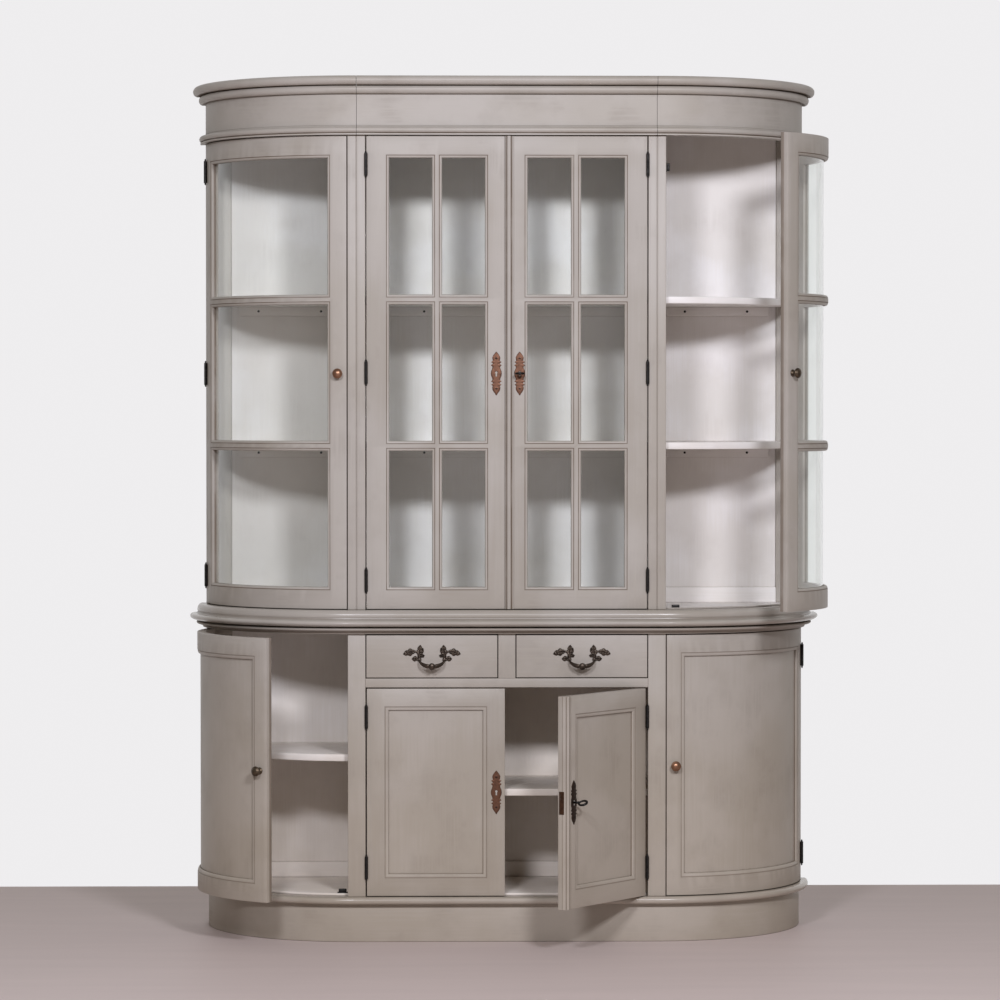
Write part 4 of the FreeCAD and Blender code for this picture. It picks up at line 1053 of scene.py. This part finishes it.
# Locks: heights of their keys, and the slots for their bolts in the meeting edges.
locks = {
    "hutchHeight": 1451,
    "baseHeight": 383,
    "boltRise": 16,
    "slotTall": 15,
    "slotDepths": (7.5, 14.5),
    "boltRoom": 24,
    "strikeRoom": 9.5,
    "faceTall": 57,
    "faceDepths": (3.6, 18.4),
    "faceProud": 0.35,
}


def lockHeight(door):
    return locks["hutchHeight" if door["glazed"] else "baseHeight"]


def slotSpan(door):
    middle = lockHeight(door) + locks["boltRise"]
    return middle - locks["slotTall"] / 2, middle + locks["slotTall"] / 2


def withBoltSlot(door, band, us, zs, rows):
    # The quad of the meeting edge that the bolt comes through becomes a frame of four quads round a pocket.
    low, high = slotSpan(door)
    near, far = locks["slotDepths"]
    acrossCount, upCount = len(us) - 1, len(zs) - 1
    if door["side"] > 0:
        edge, first, upwards = door["edges"][0], 2 * acrossCount + upCount, zs[::-1]
        inner, ends = edge + locks["boltRoom"], (high, low)
    else:
        edge, first, upwards = door["edges"][1], acrossCount, zs
        inner, ends = edge - locks["strikeRoom"], (low, high)
    inSpan = (np.minimum(upwards[:-1], upwards[1:]) < low) & (np.maximum(upwards[:-1], upwards[1:]) > high)
    flatRow = rows // 2 - 1
    chosen = flatRow * (len(band["points"]) // rows) + first + int(np.argmax(inSpan))
    corners = band["quads"][chosen]
    depths = np.array([near, near, far, far])
    heights = np.array([ends[0], ends[1], ends[1], ends[0]])
    start = len(band["points"])
    mouth, floor = start + np.arange(4), start + 4 + np.arange(4)
    walls = []
    for outer, deeper in ((corners, mouth), (mouth, floor)):
        walls.append(np.stack([outer, np.roll(outer, -1), np.roll(deeper, -1), deeper], 1))
    quads = np.concatenate([np.delete(band["quads"], chosen, 0), *walls, floor[None]])
    points = [band["points"], onDoor(door, edge, heights, depths), onDoor(door, inner, heights, depths)]
    return makeShape(np.concatenate(points), quads)


def grown(spans, size):
    return [(low - size, high + size) for low, high in spans]


def doorFrame(door):
    soft = doorSizes["soft"]
    thick = boards["doorThick"]
    spansU, spansZ = paneSpans(door)
    ringsU, ringsZ = grown(spansU, door["ring"]), grown(spansZ, door["ring"])
    (left, right), (bottom, top) = grown([door["edges"], door["heights"]], -soft)
    breaksU = [left] + [edge for span in ringsU for edge in span] + [right]
    breaksZ = [bottom] + [edge for span in ringsZ for edge in span] + [top]
    us = linesAcross(breaksU, doorSizes["bowStep" if door["bowed"] else "flatStep"])
    zs = np.array(breaksZ)
    steps = ringSteps(door)
    inset = steps[-1, 0]
    backU, backZ = squeezed(us, ringsU, inset), squeezed(zs, ringsZ, inset)
    holesU, holesZ = grown(ringsU, -inset), grown(ringsZ, -inset)
    edge = [(0, 0), (-0.7 * soft, 0.3 * soft), (-soft, soft)]
    edge += [(-soft, thick - soft), (-0.7 * soft, thick - 0.3 * soft), (0, thick)]
    shapes = [
        facePlate(door, us, zs, ringsU, ringsZ, 0, 1),
        facePlate(door, backU, backZ, holesU, holesZ, thick, 1),
    ]
    for lowU, highU in ringsU:
        for lowZ, highZ in ringsZ:
            insideU = us[(us > lowU - 1e-6) & (us < highU + 1e-6)]
            shapes.append(ringBand(door, insideU, np.array([lowZ, highZ]), steps[:, :2], steps[:, 2]))
    # The outer edge follows the front grid's lines up one side and across.
    band = ringBand(door, us, zs, edge)
    shapes.append(band if door["bowed"] else withBoltSlot(door, band, us, zs, len(edge)))
    return shapes


def doorPanes(door):
    # Sheets that reach behind the moulding by the hidden width.
    hidden = doorSizes["glassHidden" if door["glazed"] else "panelHidden"]
    spansU, spansZ = paneSpans(door)
    depth = doorSizes["glassDepth" if door["glazed"] else "panelDepth"]
    thick = doorSizes["glassThick" if door["glazed"] else "panelThick"]
    shapes = []
    # Glaze and painted shade darken the edges of a panel, for the width of the fade, where the moulding's
    # shadow falls.
    fade = 0.0 if door["glazed"] else doorSizes["panelFade"]
    for lowU, highU in spansU:
        breaksU = [lowU - hidden, lowU + fade, highU - fade, highU + hidden]
        us = linesAcross(breaksU, doorSizes["bowStep" if door["bowed"] else "flatStep"])
        insideU = np.minimum(us - lowU, highU - us)[None, :]
        for lowZ, highZ in spansZ:
            zs = np.array([lowZ - hidden, lowZ + fade, highZ - fade, highZ + hidden])
            inside = np.minimum(insideU, np.minimum(zs - lowZ, highZ - zs)[:, None])
            glazeAndShade = np.clip(1 - inside / max(fade, 1e-6), 0, 0.9).ravel() * (fade > 0)
            shapes.append(facePlate(door, us, zs, [], [], depth, glazeAndShade=glazeAndShade))
            shapes.append(facePlate(door, us, zs, [], [], depth + thick))
            shapes.append(ringBand(door, us, zs, [(0, depth), (0, depth + thick)]))
    return shapes


def uprightStrip(door, section, glazeAndShade, heights=None):
    # A closed section of (u, depth) carried up the door.
    zs = np.array(heights or door["heights"])
    points = onDoor(door, section[None, :, 0], zs[:, None], section[None, :, 1])
    return sweptShape(points, glazeAndShade=np.tile(np.broadcast_to(glazeAndShade, len(section)), 2))


def rebateLines(door):
    # A dark line of glaze and painted shade in the rebate along the meeting edge, below and above the face of
    # the lock.
    edge = door["edges"][0]
    section = softRect(edge - doorSizes["rebateProud"], edge + 1, *doorSizes["rebateDepths"], 0.2)
    half = locks["faceTall"] / 2
    below = (door["heights"][0], lockHeight(door) - half)
    above = (lockHeight(door) + half, door["heights"][1])
    return [uprightStrip(door, section, 0.95, span) for span in (below, above)]


def freeLip(door):
    # The lip of the rebate along the free edge of a bowed door, out to just short of the side panel; its
    # glaze value darkens it as painted shade seen through the gap.
    last = radius * math.acos((endOut + doorSizes["lipGap"] - flatHalf) / bowInside)
    section = softRect(door["edges"][1] - 2, last, doorSizes["lipStart"], boards["doorThick"], 0.5)
    return uprightStrip(door, section, 0.6)


def astragal(door):
    # The strip on the meeting edge: a hollow, a round reed, a groove and a fillet, with glaze and painted
    # shade in the hollow and the groove.
    section, glazeAndShade = outlineWithGlazeAndShade(
        ([(-4, 0), (-3.8, 2.2), (-1.6, 2.4), (-0.6, 1.2)], [0.3, 0.3, 0.6, 0.95]),
        (arcOf((5.2, 0), (5.4, 5), 175, 5, 11), [0.6] + [0] * 9 + [0.6]),
        ([(11.4, 0.9), (13, 1.0), (13.8, 2.6), (17, 2.4), (18, 0)], [0.95, 0.9, 0.2, 0.1, 0.3]),
    )
    return uprightStrip(door, section * [1, -1] + [0, 0.02], glazeAndShade)


doors = {name: doorFacts(name) for name in doorNames}
for name, door in doors.items():
    shapes = doorFrame(door)
    if door["side"] > 0 and not door["bowed"]:
        shapes += [astragal(door)] + rebateLines(door)
    if door["bowed"]:
        shapes.append(freeLip(door))
    addPiece(name + "Frame", shapes, [paintUp, paintAcross], name, [name + "_frame"])
    if door["glazed"]:
        addPiece(name + "Glass", doorPanes(door), [clearGlass], name, [name + "_glass"])
    else:
        addPiece(name + "Panel", doorPanes(door), [paintUp], name, [name + "_panel"])
print("doors done")


# Shelves, on the lines of the glazing bars in the hutch.
shelves = {
    "thick": 18,
    "soft": 2.0,
    "frontGap": 30,
    "legGap": 1,
    "endTop": 478,
    "centerTop": 389,
    "battenTall": 24,
    "battenThick": 14,
    "battenInset": 20,
    "screwPlaces": (0.19, 0.79),
    "screwProfile": [(-2, 0), (-2, 3.2), (0.3, 3.2), (0.9, 2.2), (0.7, 0)],
}


def endShelf(inner, top, side):
    # Outline: along the side, along the back, round the leg of the post, and back along the bow.
    reach = radius - shelves["frontGap"]
    legY = back - boards["legDepth"] - shelves["legGap"]
    legX = postIn - shelves["legGap"]
    firstAngle = math.degrees(math.asin((back - legY) / reach))
    lastAngle = math.degrees(math.acos((inner - flatHalf) / reach))
    bow = arcOf((flatHalf, back), (reach, -reach), firstAngle, lastAngle, 40)
    outline = outlineOf((inner, insideBack), (legX, insideBack), (legX, legY), bow)
    return outlineSlab(outline * [side, 1], top - shelves["thick"], top, shelves["soft"])


def shelfBatten(left, right, top):
    high = top - shelves["thick"]
    low = high - shelves["battenTall"]
    near = insideBack - shelves["battenThick"]
    return [(left + shelves["battenInset"], near, low), (right - shelves["battenInset"], insideBack, high)]


def addShelves():
    spansZ = paneSpans(doors["hutch_center_left_door"])[1]
    tops = [(spansZ[n][1] + spansZ[n + 1][0]) / 2 + shelves["thick"] / 2 for n in range(2)]
    edge = insideFront + shelves["frontGap"] - boards["doorThick"]
    centers = [(partIn, shelves["centerTop"])] + [(centerIn, top) for top in tops]
    ends = [(partOut, shelves["endTop"])] + [(endOut, top) for top in tops]
    middle = [[(-half, edge, top - shelves["thick"]), (half, insideBack, top)] for half, top in centers]
    shapes = [roundBoards(middle, shelves["soft"])]
    for inner, top in ends:
        shapes += [endShelf(inner, top, side) for side in (-1, 1)]
    addPiece("shelves", shapes, [whiteAcross], "carcass", ["shelves"])
    centerBattens = [shelfBatten(-half, half, top) for half, top in centers]
    endBattens = [shelfBatten(inner, postIn, top) for inner, top in ends]
    battens = np.concatenate([centerBattens, bothSides(endBattens)])
    shapes = [roundBoards(battens)]
    addPiece("shelfBattens", shapes, [whiteAcross], "carcass", ["shelf_battens"])
    lows, highs = battens[:, 0], battens[:, 1]
    screws = np.concatenate([lows + (highs - lows) * (place, 0, 0.5) for place in shelves["screwPlaces"]])
    heads = latheShape(shelves["screwProfile"], screws, (0, -1, 0), 16)
    addPiece("battenScrews", [heads], [blackIron], "carcass")


addShelves()
print("shelves done")


# Drawers.
drawers = {
    "sides": {"left_drawer": -1, "right_drawer": 1},
    "gap": 3,
    "front": 20,
    "side": 12,
    "depth": 330,
    "tall": 92,
    "clear": 2.5,
    "seat": 0.3,
    "bottom": 6,
    "rise": 9,
}
drawerIn = boards["muntin"] / 2 + drawers["gap"]
drawerOut = centerIn - drawers["gap"]


def addDrawer(name, side):
    low, high = drawerLow + drawers["gap"], baseTop - drawers["gap"]
    boxFront = front + drawers["front"]
    boxBack = boxFront + drawers["depth"]
    bottom = drawerLow + drawers["seat"]
    top = bottom + drawers["tall"]
    left, right = drawerIn + drawers["clear"], drawerOut - drawers["clear"]
    inLeft, inRight = left + drawers["side"], right - drawers["side"]
    floorLow = bottom + drawers["rise"]
    grow = doorSizes["grow"]
    face = [[(drawerIn - grow, front, low - grow), (drawerOut + grow, boxFront, high)]]
    box = [
        [(left, boxFront, bottom), (inLeft, boxBack, top)],
        [(inRight, boxFront, bottom), (right, boxBack, top)],
        [(inLeft, boxBack - drawers["side"], bottom), (inRight, boxBack, top)],
        [(inLeft, boxFront, floorLow), (inRight, boxBack - drawers["side"], floorLow + drawers["bottom"])],
    ]
    face, box = (np.sort(np.array(part) * [side, 1, 1], axis=1) for part in (face, box))
    shapes = [roundBoards(face, 1.4), roundBoards(box, 1.0, 1)]
    addPiece(name + "Box", shapes, [paintAcross, bareWood], name, [name])


for name, side in drawers["sides"].items():
    addDrawer(name, side)
print("drawers done")


# Drawer pulls: a bail between two posts, with leaves on a twig above each post.
pulls = {
    "half": 32,
    "drop": 9,
    "out": 5,
    "lean": 60,
    "barWide": (2.2, 2.2, 2.8),
    "barTall": (2.2, 4.6, 3.0),
    "boss": [(0, 0), (0, 5.2), (1.8, 5.4), (3, 4.2), (5.4, 3.8), (7.2, 3.2), (8.2, 0)],
    "leaves": [  # start out from and above the post, angle from level, length, half width, curl, teeth
        ((11, 20.5), -4, 31.0, 9.8, -4.0, 2.5),
        ((0, 6), 92, 32.0, 9.0, 1.5, 2.5),
        ((-1, 13), 124, 19.0, 6.0, -2.0, 1.5),
        ((-1, 8), 158, 13.0, 5.8, 2.0, 1.5),
        ((1, 2), 6, 18.5, 7.8, -2.0, 1.5),
    ],
    "twig": [(0, -1), (-0.4, 8), (1, 16), (5, 20.5), (12, 20.8)],
    "twigRound": 2.3,
    "twigOut": 2.2,
}


def leafShape(post, end, start, angle, length, width, curl, teeth):
    # Along t and across s: half width = width * sin(pi t^0.8)^0.7 with teeth.
    # The face is domed, with veins and a groove along its middle, and the back is flat.
    t = np.linspace(0, 1, 49)[:, None]
    s = np.linspace(-1, 1, 17)[None, :]
    jags = 0.6 + 0.4 * np.abs(np.cos(teeth * np.pi * t)) ** 0.7
    wide = width * np.sin(np.pi * t ** 0.8) ** 0.7 * jags
    along = length * t + 0 * s
    across = wide * s + curl * t ** 2
    dome = np.sqrt(np.clip(1 - s ** 2, 0, 1)) * np.sin(np.pi * np.clip(t, 0.02, 0.98)) ** 0.5
    veins = 0.8 * np.cos(2 * teeth * 2 * np.pi * t - 5 * np.abs(s)) * (1 - s ** 2)
    rise = 0.5 + 4.2 * dome + veins * dome - 1.5 * np.exp(-(s / 0.14) ** 2) * dome
    along, across = thereAndBack(along), thereAndBack(across)
    turn = math.radians(angle)
    x = post[0] + end * (start[0] + along * math.cos(turn) - across * math.sin(turn))
    z = post[2] + start[1] + along * math.sin(turn) + across * math.cos(turn)
    return sweptShape(np.stack([x, post[1] - faceOnly(rise), z], -1))


def bailShape(center):
    # Half a ring that leans out from the posts: an oval bar with a knuckle between two grooves.
    # The sizes of the bar are one at its ends, what the middle adds, and what the knuckle adds.
    turn = np.linspace(0, np.pi, 161)
    lean = math.radians(pulls["lean"])
    hang = pulls["half"] * np.sin(turn)
    x = center[0] - pulls["half"] * np.cos(turn)
    y = center[1] - pulls["out"] - hang * math.sin(lean)
    z = center[2] - hang * math.cos(lean)
    off = np.abs(turn - np.pi / 2)
    knuckle = np.exp(-(off / 0.17) ** 4) - 0.3 * np.exp(-((off - 0.25) / 0.05) ** 2)
    growth = np.stack([np.ones_like(turn), np.sin(turn) ** 1.2, knuckle])
    wide, tall = pulls["barWide"] @ growth, pulls["barTall"] @ growth
    upright = np.array([0, math.cos(lean), -math.sin(lean)])
    return tubeShape(np.stack([x, y, z], 1), wide, upright, 18, tall=tall)


def addPull(name, side):
    middle = side * (drawerIn + drawerOut) / 2
    center = np.array([middle, front, (drawerLow + baseTop) / 2 - pulls["drop"]])
    shapes = [bailShape(center)]
    twig = np.array([(out, -pulls["twigOut"], up) for out, up in pulls["twig"]])
    for end in (-1, 1):
        post = center + np.array([end * pulls["half"], 0, 0])
        shapes.append(latheShape(pulls["boss"], [post], (0, -1, 0), 24))
        shapes.append(tubeShape(post + twig * [end, 1, 1], pulls["twigRound"], np.array([0, 1.0, 0]), 10))
        for leaf in pulls["leaves"]:
            shapes.append(leafShape(post, end, *leaf))
    addPiece(name + "Pull", shapes, [darkBronze], name, [name + "_pull"], 50)


for name, side in drawers["sides"].items():
    addPull(name, side)
print("pulls done")


# Escutcheons: a cast plate with an oval middle, spurs and pointed ends, worked out on a grid.
plates = {
    "leftInset": 21,
    "rightInset": 36.5,
    "thick": 2.0,
    "outline": [  # height above the middle, half width
        (-55.5, 0.3), (-53.8, 2.4), (-51.5, 2.8), (-48, 6.0), (-42, 9.6), (-36, 10.5), (-31.5, 9.0),
        (-28.5, 13.2), (-25.4, 9.0), (-23.2, 8.6), (-20.0, 13.8), (-16.6, 9.6), (-12, 10.6), (-6, 13.2),
        (0, 14.0), (6, 13.2), (12, 10.6), (17, 9.6), (21.2, 14.0), (24.2, 9.2), (26.2, 9.2),
        (29.2, 13.7), (32.2, 8.8), (36, 9.8), (41, 10.4), (47, 7.4), (52, 3.6), (55.5, 0.3),
    ],
    "screws": (-38.0, 39.0),
    "screwRound": 2.9,
    "bore": {"up": 2.4, "round": 3.1},
    "slit": {"up": -2.6, "halfWide": 1.9, "halfTall": 4.8},
}


def plateShape(door, x, z):
    # Half width along the height from the outline, smoothed; face height falls off towards the edge;
    # screws are domes with a slot, and the keyhole is sunk to the door.
    outline = np.array(plates["outline"])
    heights = np.linspace(outline[0, 0], outline[-1, 0], 223)
    half = np.interp(heights, outline[:, 0], outline[:, 1])
    half = np.convolve(np.pad(half, 1, mode="edge"), [0.25, 0.5, 0.25], "valid")[:, None]
    s = np.linspace(-1, 1, 33)[None, :]
    across = half * s
    up = heights[:, None] + 0 * s
    edge = half - np.abs(across)
    rise = plates["thick"] * np.sqrt(np.clip(edge / 2.2, 0, 1)) * 0.62
    rise = rise + 0.38 * plates["thick"] * np.sqrt(np.clip(edge / (half + 1e-6), 0, 1))
    groove = np.exp(-((edge - 2.4) / 0.5) ** 2) * (np.abs(up) < 50)
    rise = rise - 0.3 * groove
    screwMask = np.zeros_like(up)
    for place in plates["screws"]:
        far = np.hypot(across, up - place)
        dome = np.clip(1 - (far / plates["screwRound"]) ** 2, 0, 1)
        slot = (np.abs(across - 0.3 * (up - place)) < 0.5) * (dome > 0)
        rise = rise + 0.7 * np.sqrt(dome) - 0.5 * slot
        screwMask = np.maximum(screwMask, np.clip((3.2 - far) / 1.0, 0, 1))
    bore, slit = plates["bore"], plates["slit"]
    fromBore = np.hypot(across, up - bore["up"]) - bore["round"]
    fromSlit = np.maximum(np.abs(across) - slit["halfWide"], np.abs(up - slit["up"]) - slit["halfTall"])
    inside = np.clip(0.5 - np.minimum(fromBore, fromSlit) / 0.8, 0, 1)
    rise = rise * (1 - inside) + 0.15 * inside
    points = onDoor(door, x + thereAndBack(across), z + thereAndBack(up), -faceOnly(rise))
    extra = {"screw": faceOnly(screwMask).ravel(), "keyhole": faceOnly(inside).ravel()}
    return sweptShape(points), extra


def plateMiddle(door):
    if door["side"] < 0:
        return door["edges"][1] - doorSizes["grow"] - plates["leftInset"], lockHeight(door)
    return door["edges"][0] + doorSizes["grow"] + plates["rightInset"], lockHeight(door)


# Keys: a turned shank with collars, an oval bow and a bit.
keys = {
    "out": 41,
    "inside": 14,
    "shank": 2.6,
    "bowLong": 10.6,
    "bowWide": 9.5,
    "bowBar": 2.7,
    "baseTilt": 30,
    "bit": (2, 6, 4.6),
    "collars": [  # distance along, radius
        (-1.5, 0), (-1.5, 2.2), (0.5, 2.6), (1.4, 3.9), (2.6, 3.9),
        (3.4, 2.4), (5, 2.2), (6, 3.2), (7.2, 3.2), (8, 2.6),
    ],
}


def addKey(door):
    x, z = plateMiddle(door)
    name = door["name"] + "_key"
    ringMiddle = front - keys["out"] + keys["bowLong"] + keys["bowBar"]
    start = ringMiddle + keys["bowLong"]
    tip = front + keys["inside"]
    length = tip - start
    end = [(length - 1, keys["shank"]), (length, keys["shank"] - 0.8), (length, 0)]
    profile = keys["collars"] + end
    shank = latheShape(profile, [(x, start, z)], (0, 1, 0), 20)
    turn = np.linspace(0, 2 * np.pi, 48, endpoint=False)
    tilt = 0 if door["glazed"] else math.radians(keys["baseTilt"])
    across = keys["bowWide"] * np.sin(turn)
    along = ringMiddle + keys["bowLong"] * np.cos(turn)
    ring = np.stack([x + across * math.cos(tilt), along, z + across * math.sin(tilt)], 1)
    upright = np.array([-math.sin(tilt), 0, math.cos(tilt)])
    bow = tubeShape(ring, keys["bowBar"] - 0.4 * np.cos(turn), upright, 14, True)
    bitThick, bitLong, bitTall = keys["bit"]
    bit = roundBoards([[(x - bitThick / 2, tip - bitLong, z - bitTall), (x + bitThick / 2, tip, z)]], 0.3)
    shapes = [shank, bow, bit]
    for shape in shapes:
        shape["points"] = swung(door, shape["points"])
    addPiece(name + "Piece", shapes, [blackIron], name, [name], 50)


def addLockFace(door):
    # The face of the lock, let into the meeting edge: four strips round the slot of the bolt.
    edge = door["edges"][0]
    low, high = slotSpan(door)
    bottom, top = lockHeight(door) - locks["faceTall"] / 2, lockHeight(door) + locks["faceTall"] / 2
    near, far = locks["faceDepths"]
    slotNear, slotFar = locks["slotDepths"]
    strips = [(near, far, bottom, low), (near, far, high, top)]
    strips += [(near, slotNear, low, high), (slotFar, far, low, high)]
    shapes = []
    for first, last, start, end in strips:
        section = softRect(edge - locks["faceProud"], edge + 1, first, last, 0.1)
        shapes.append(uprightStrip(door, section, 0, (start, end)))
    addPiece(door["name"] + "LockFace", shapes, [lockBrass], door["name"])


# Knobs: a turned head on a neck and a rose.
knobs = {
    "hutchHeight": 1451,
    "baseHeight": 450,
    "inset": 21.5,
    "profile": [  # distance out from the door, radius
        (-2, 0), (-2, 9), (1.0, 9), (2.4, 8.2), (3, 6.4), (4.4, 4.9), (9, 4.5), (11.2, 5.6), (12.6, 9.4),
        (14.2, 11.9), (16.4, 12.75), (18.2, 12.5), (19.3, 11.4), (19.6, 10.2), (21.4, 9.2), (23.2, 5.6),
        (23.9, 1.6), (24, 0),
    ],
}


def addKnob(door):
    u = door["edges"][1] - knobs["inset"]
    z = knobs["hutchHeight" if door["glazed"] else "baseHeight"]
    origin = onDoor(door, u, z, 0.0)
    axis = onDoor(door, u, z, -1.0) - origin
    # The knobs of the doors that stand open get a darker copy of the bronze: painted shade for the dimmer
    # reflection they show.
    finish = shadedKnob if door["turn"] else bronzeKnob
    shapes = [latheShape(knobs["profile"], [origin], axis, 40)]
    addPiece(door["name"] + "Knob", shapes, [finish], door["name"], [door["name"] + "_knob"], 50)


for name, door in doors.items():
    if door["bowed"]:
        addKnob(door)
        continue
    shape, extra = plateShape(door, *plateMiddle(door))
    # Plates of the doors that stand open get a darker copy of the copper: painted shade.
    finish = shadedPlate if door["turn"] else copperPlate
    addPiece(name + "Escutcheon", [shape], [finish], name, [name + "_escutcheon"], 50, extra)
    if door["side"] > 0:
        addKey(door)
        addLockFace(door)
print("plates, keys and knobs done")


# Hinge pins with pointed finials, at the hinges of every door.
hinges = {
    "inset": 72,
    "half": 28,
    "finial": [  # distance beyond the hinge, radius
        (0, 2), (0, 3.7), (0.7, 3.6), (1.2, 2.2), (2.0, 2.0), (3.2, 2.5), (4.6, 1.9), (6.2, 0.7), (6.8, 0),
    ],
}


def addHingePins():
    origins = []
    for door in doors.values():
        low, high = door["heights"]
        inset = hinges["inset"] + doorSizes["grow"]
        places = [low + inset, high - inset] + ([(low + high) / 2] if door["glazed"] else [])
        origins += [(door["hinge"][0], door["hinge"][1], place) for place in places]
    upper = np.array(hinges["finial"]) + [hinges["half"], 0]
    profile = np.concatenate([upper[::-1] * [-1, 1], upper])
    shapes = [latheShape(profile, origins, (0, 0, 1), 20)]
    addPiece("hingePins", shapes, [blackIron], "carcass", ["hinge_pins"], 40)


# Catches: a plate with a raised lip, on the floors and on the sides beside the bowed doors.
catches = {
    "setback": 8,
    "aside": 14,
    "below": 90,
    "plate": {"along": (0, 26), "deep": (0, 14), "up": (0, 3)},
    "lip": {"along": (3, 23), "deep": (1.5, 10), "up": (2, 11)},
}


def addCatches():
    near = insideFront + catches["setback"]
    places = [(endOut, hutchFloor, "hutch_left_end_door"), (partOut, floorTop, "base_left_end_door")]
    blocks = []
    for inner, floor, name in places:
        high = doors[name]["heights"][1] - catches["below"]
        start = inner + catches["aside"]
        for part in (catches["plate"], catches["lip"]):
            spans = list(zip(part["along"], part["deep"], part["up"]))
            blocks.append([(start + along, near + deep, floor + up) for along, deep, up in spans])
            blocks.append([(inner + up, near + deep, high + along) for along, deep, up in spans])
    shapes = [roundBoards(bothSides(blocks), 1.4)]
    addPiece("doorCatches", shapes, [blackIron], "carcass", ["door_catches"])


addHingePins()
addCatches()
for name, node in frame["nodes"].items():
    finish = blackIron if "hinge" in name else lockBrass if "lock" in name else None
    if finish and not node.hide_render:
        node.data.materials.clear()
        node.data.materials.append(finish)
print("hinges and catches done")


# Stage, lamps and camera.
stage = {
    "floorColors": ((0.6324, 0.5394, 0.5162, 1), (0.714, 0.609, 0.5828, 1)),
    "floorX": (-9, 9),
    "floorY": (-11, 1),
    "wall": (0.86, 0.85, 0.86, 1),
    "room": 0.2,
    "fillColor": (1.0, 0.91, 0.80, 1),
    "ambient": 0.024,
    "sideLight": 0.3,
    "topLight": 0.3,
    "lamps": [  # name, place, aim, width, height, power, color
        ("leftKey", (-1.18, -5.60, 3.30), (0.0, -0.2, 1.1), 0.90, 0.60, 124, (0.92, 0.92, 1.0)),
        ("rightKey", (1.36, -5.60, 3.30), (0.0, -0.2, 1.1), 0.90, 0.60, 163, (0.92, 0.92, 1.0)),
    ],
    "cameraPlace": (-0.195, -10.302, 1.358),
    "cameraAim": (-0.0176, -0.202, 1.1290),
    "lens": 142.8,
}


def aimAt(thing, target):
    way = Vector(target) - thing.location
    thing.rotation_euler = way.to_track_quat("-Z", "Y").to_euler()


def addFloor():
    left, right = stage["floorX"]
    near, far = stage["floorY"]
    mesh = bpy.data.meshes.new("studioFloor")
    corners = [(left, near, 0), (right, near, 0), (right, far, 0), (left, far, 0)]
    mesh.from_pydata(corners, [], [(0, 1, 2, 3)])
    floor = bpy.data.objects.new("studioFloor", mesh)
    bpy.context.scene.collection.objects.link(floor)
    material, tree, surface, place = newMaterial("paleFloor")
    soft = noiseValue(tree, timesVector(tree, place, (0.8, 6, 1)), 2.0, 4.0)
    tree.links.new(mixColors(tree, soft, *stage["floorColors"]), surface.inputs["Base Color"])
    surface.inputs["Roughness"].default_value = 0.6
    mesh.materials.append(material)


def setWorld():
    world = bpy.data.worlds.new("studioWorld")
    bpy.context.scene.world = world
    world.use_nodes = True
    tree = world.node_tree
    # White where it is seen straight or through glass. Where it is mirrored, white behind the piece and
    # dimmer in front, as a room is. Weak where it lights a matt surface, most from the sides and above.
    path = putNode(tree, "LightPath").outputs
    seen = mathNode(tree, "MAXIMUM", path["Is Camera Ray"], path["Is Transmission Ray"])
    shown = mathNode(tree, "MAXIMUM", seen, path["Is Glossy Ray"])
    way = putNode(tree, "SeparateXYZ", {0: putNode(tree, "TexCoord").outputs["Generated"]}).outputs
    room = rampValue(tree, way["Y"], 0.0, 0.9, stage["room"], 1.0)
    mirrored = mathNode(tree, "MULTIPLY", path["Is Glossy Ray"], room)
    aside = mathNode(tree, "ABSOLUTE", way["X"], 0.0)
    strength = rampValue(tree, aside, 0.3, 1.0, stage["ambient"], stage["sideLight"])
    above = rampValue(tree, way["Z"], 0.2, 1.0, 0.0, stage["topLight"])
    for light in (above, mirrored, seen):
        strength = mathNode(tree, "MAXIMUM", strength, light)
    background = tree.nodes["Background"]
    tree.links.new(mixColors(tree, shown, stage["fillColor"], stage["wall"]), background.inputs["Color"])
    tree.links.new(strength, background.inputs["Strength"])


def addLamps():
    for name, place, aim, width, height, power, color in stage["lamps"]:
        lamp = bpy.data.lights.new(name, "AREA")
        lamp.shape = "ELLIPSE"
        lamp.size = width
        lamp.size_y = height
        lamp.energy = power
        lamp.color = color
        holder = bpy.data.objects.new(name, lamp)
        holder.location = place
        aimAt(holder, aim)
        bpy.context.scene.collection.objects.link(holder)


def addCamera():
    camera = bpy.data.cameras.new("photoCamera")
    camera.lens = stage["lens"]
    camera.sensor_width = 36
    holder = bpy.data.objects.new("photoCamera", camera)
    holder.location = stage["cameraPlace"]
    aimAt(holder, stage["cameraAim"])
    bpy.context.scene.collection.objects.link(holder)
    bpy.context.scene.camera = holder


addFloor()
setWorld()
addLamps()
addCamera()
bpy.context.scene.view_settings.view_transform = "Standard"
print("stage done")
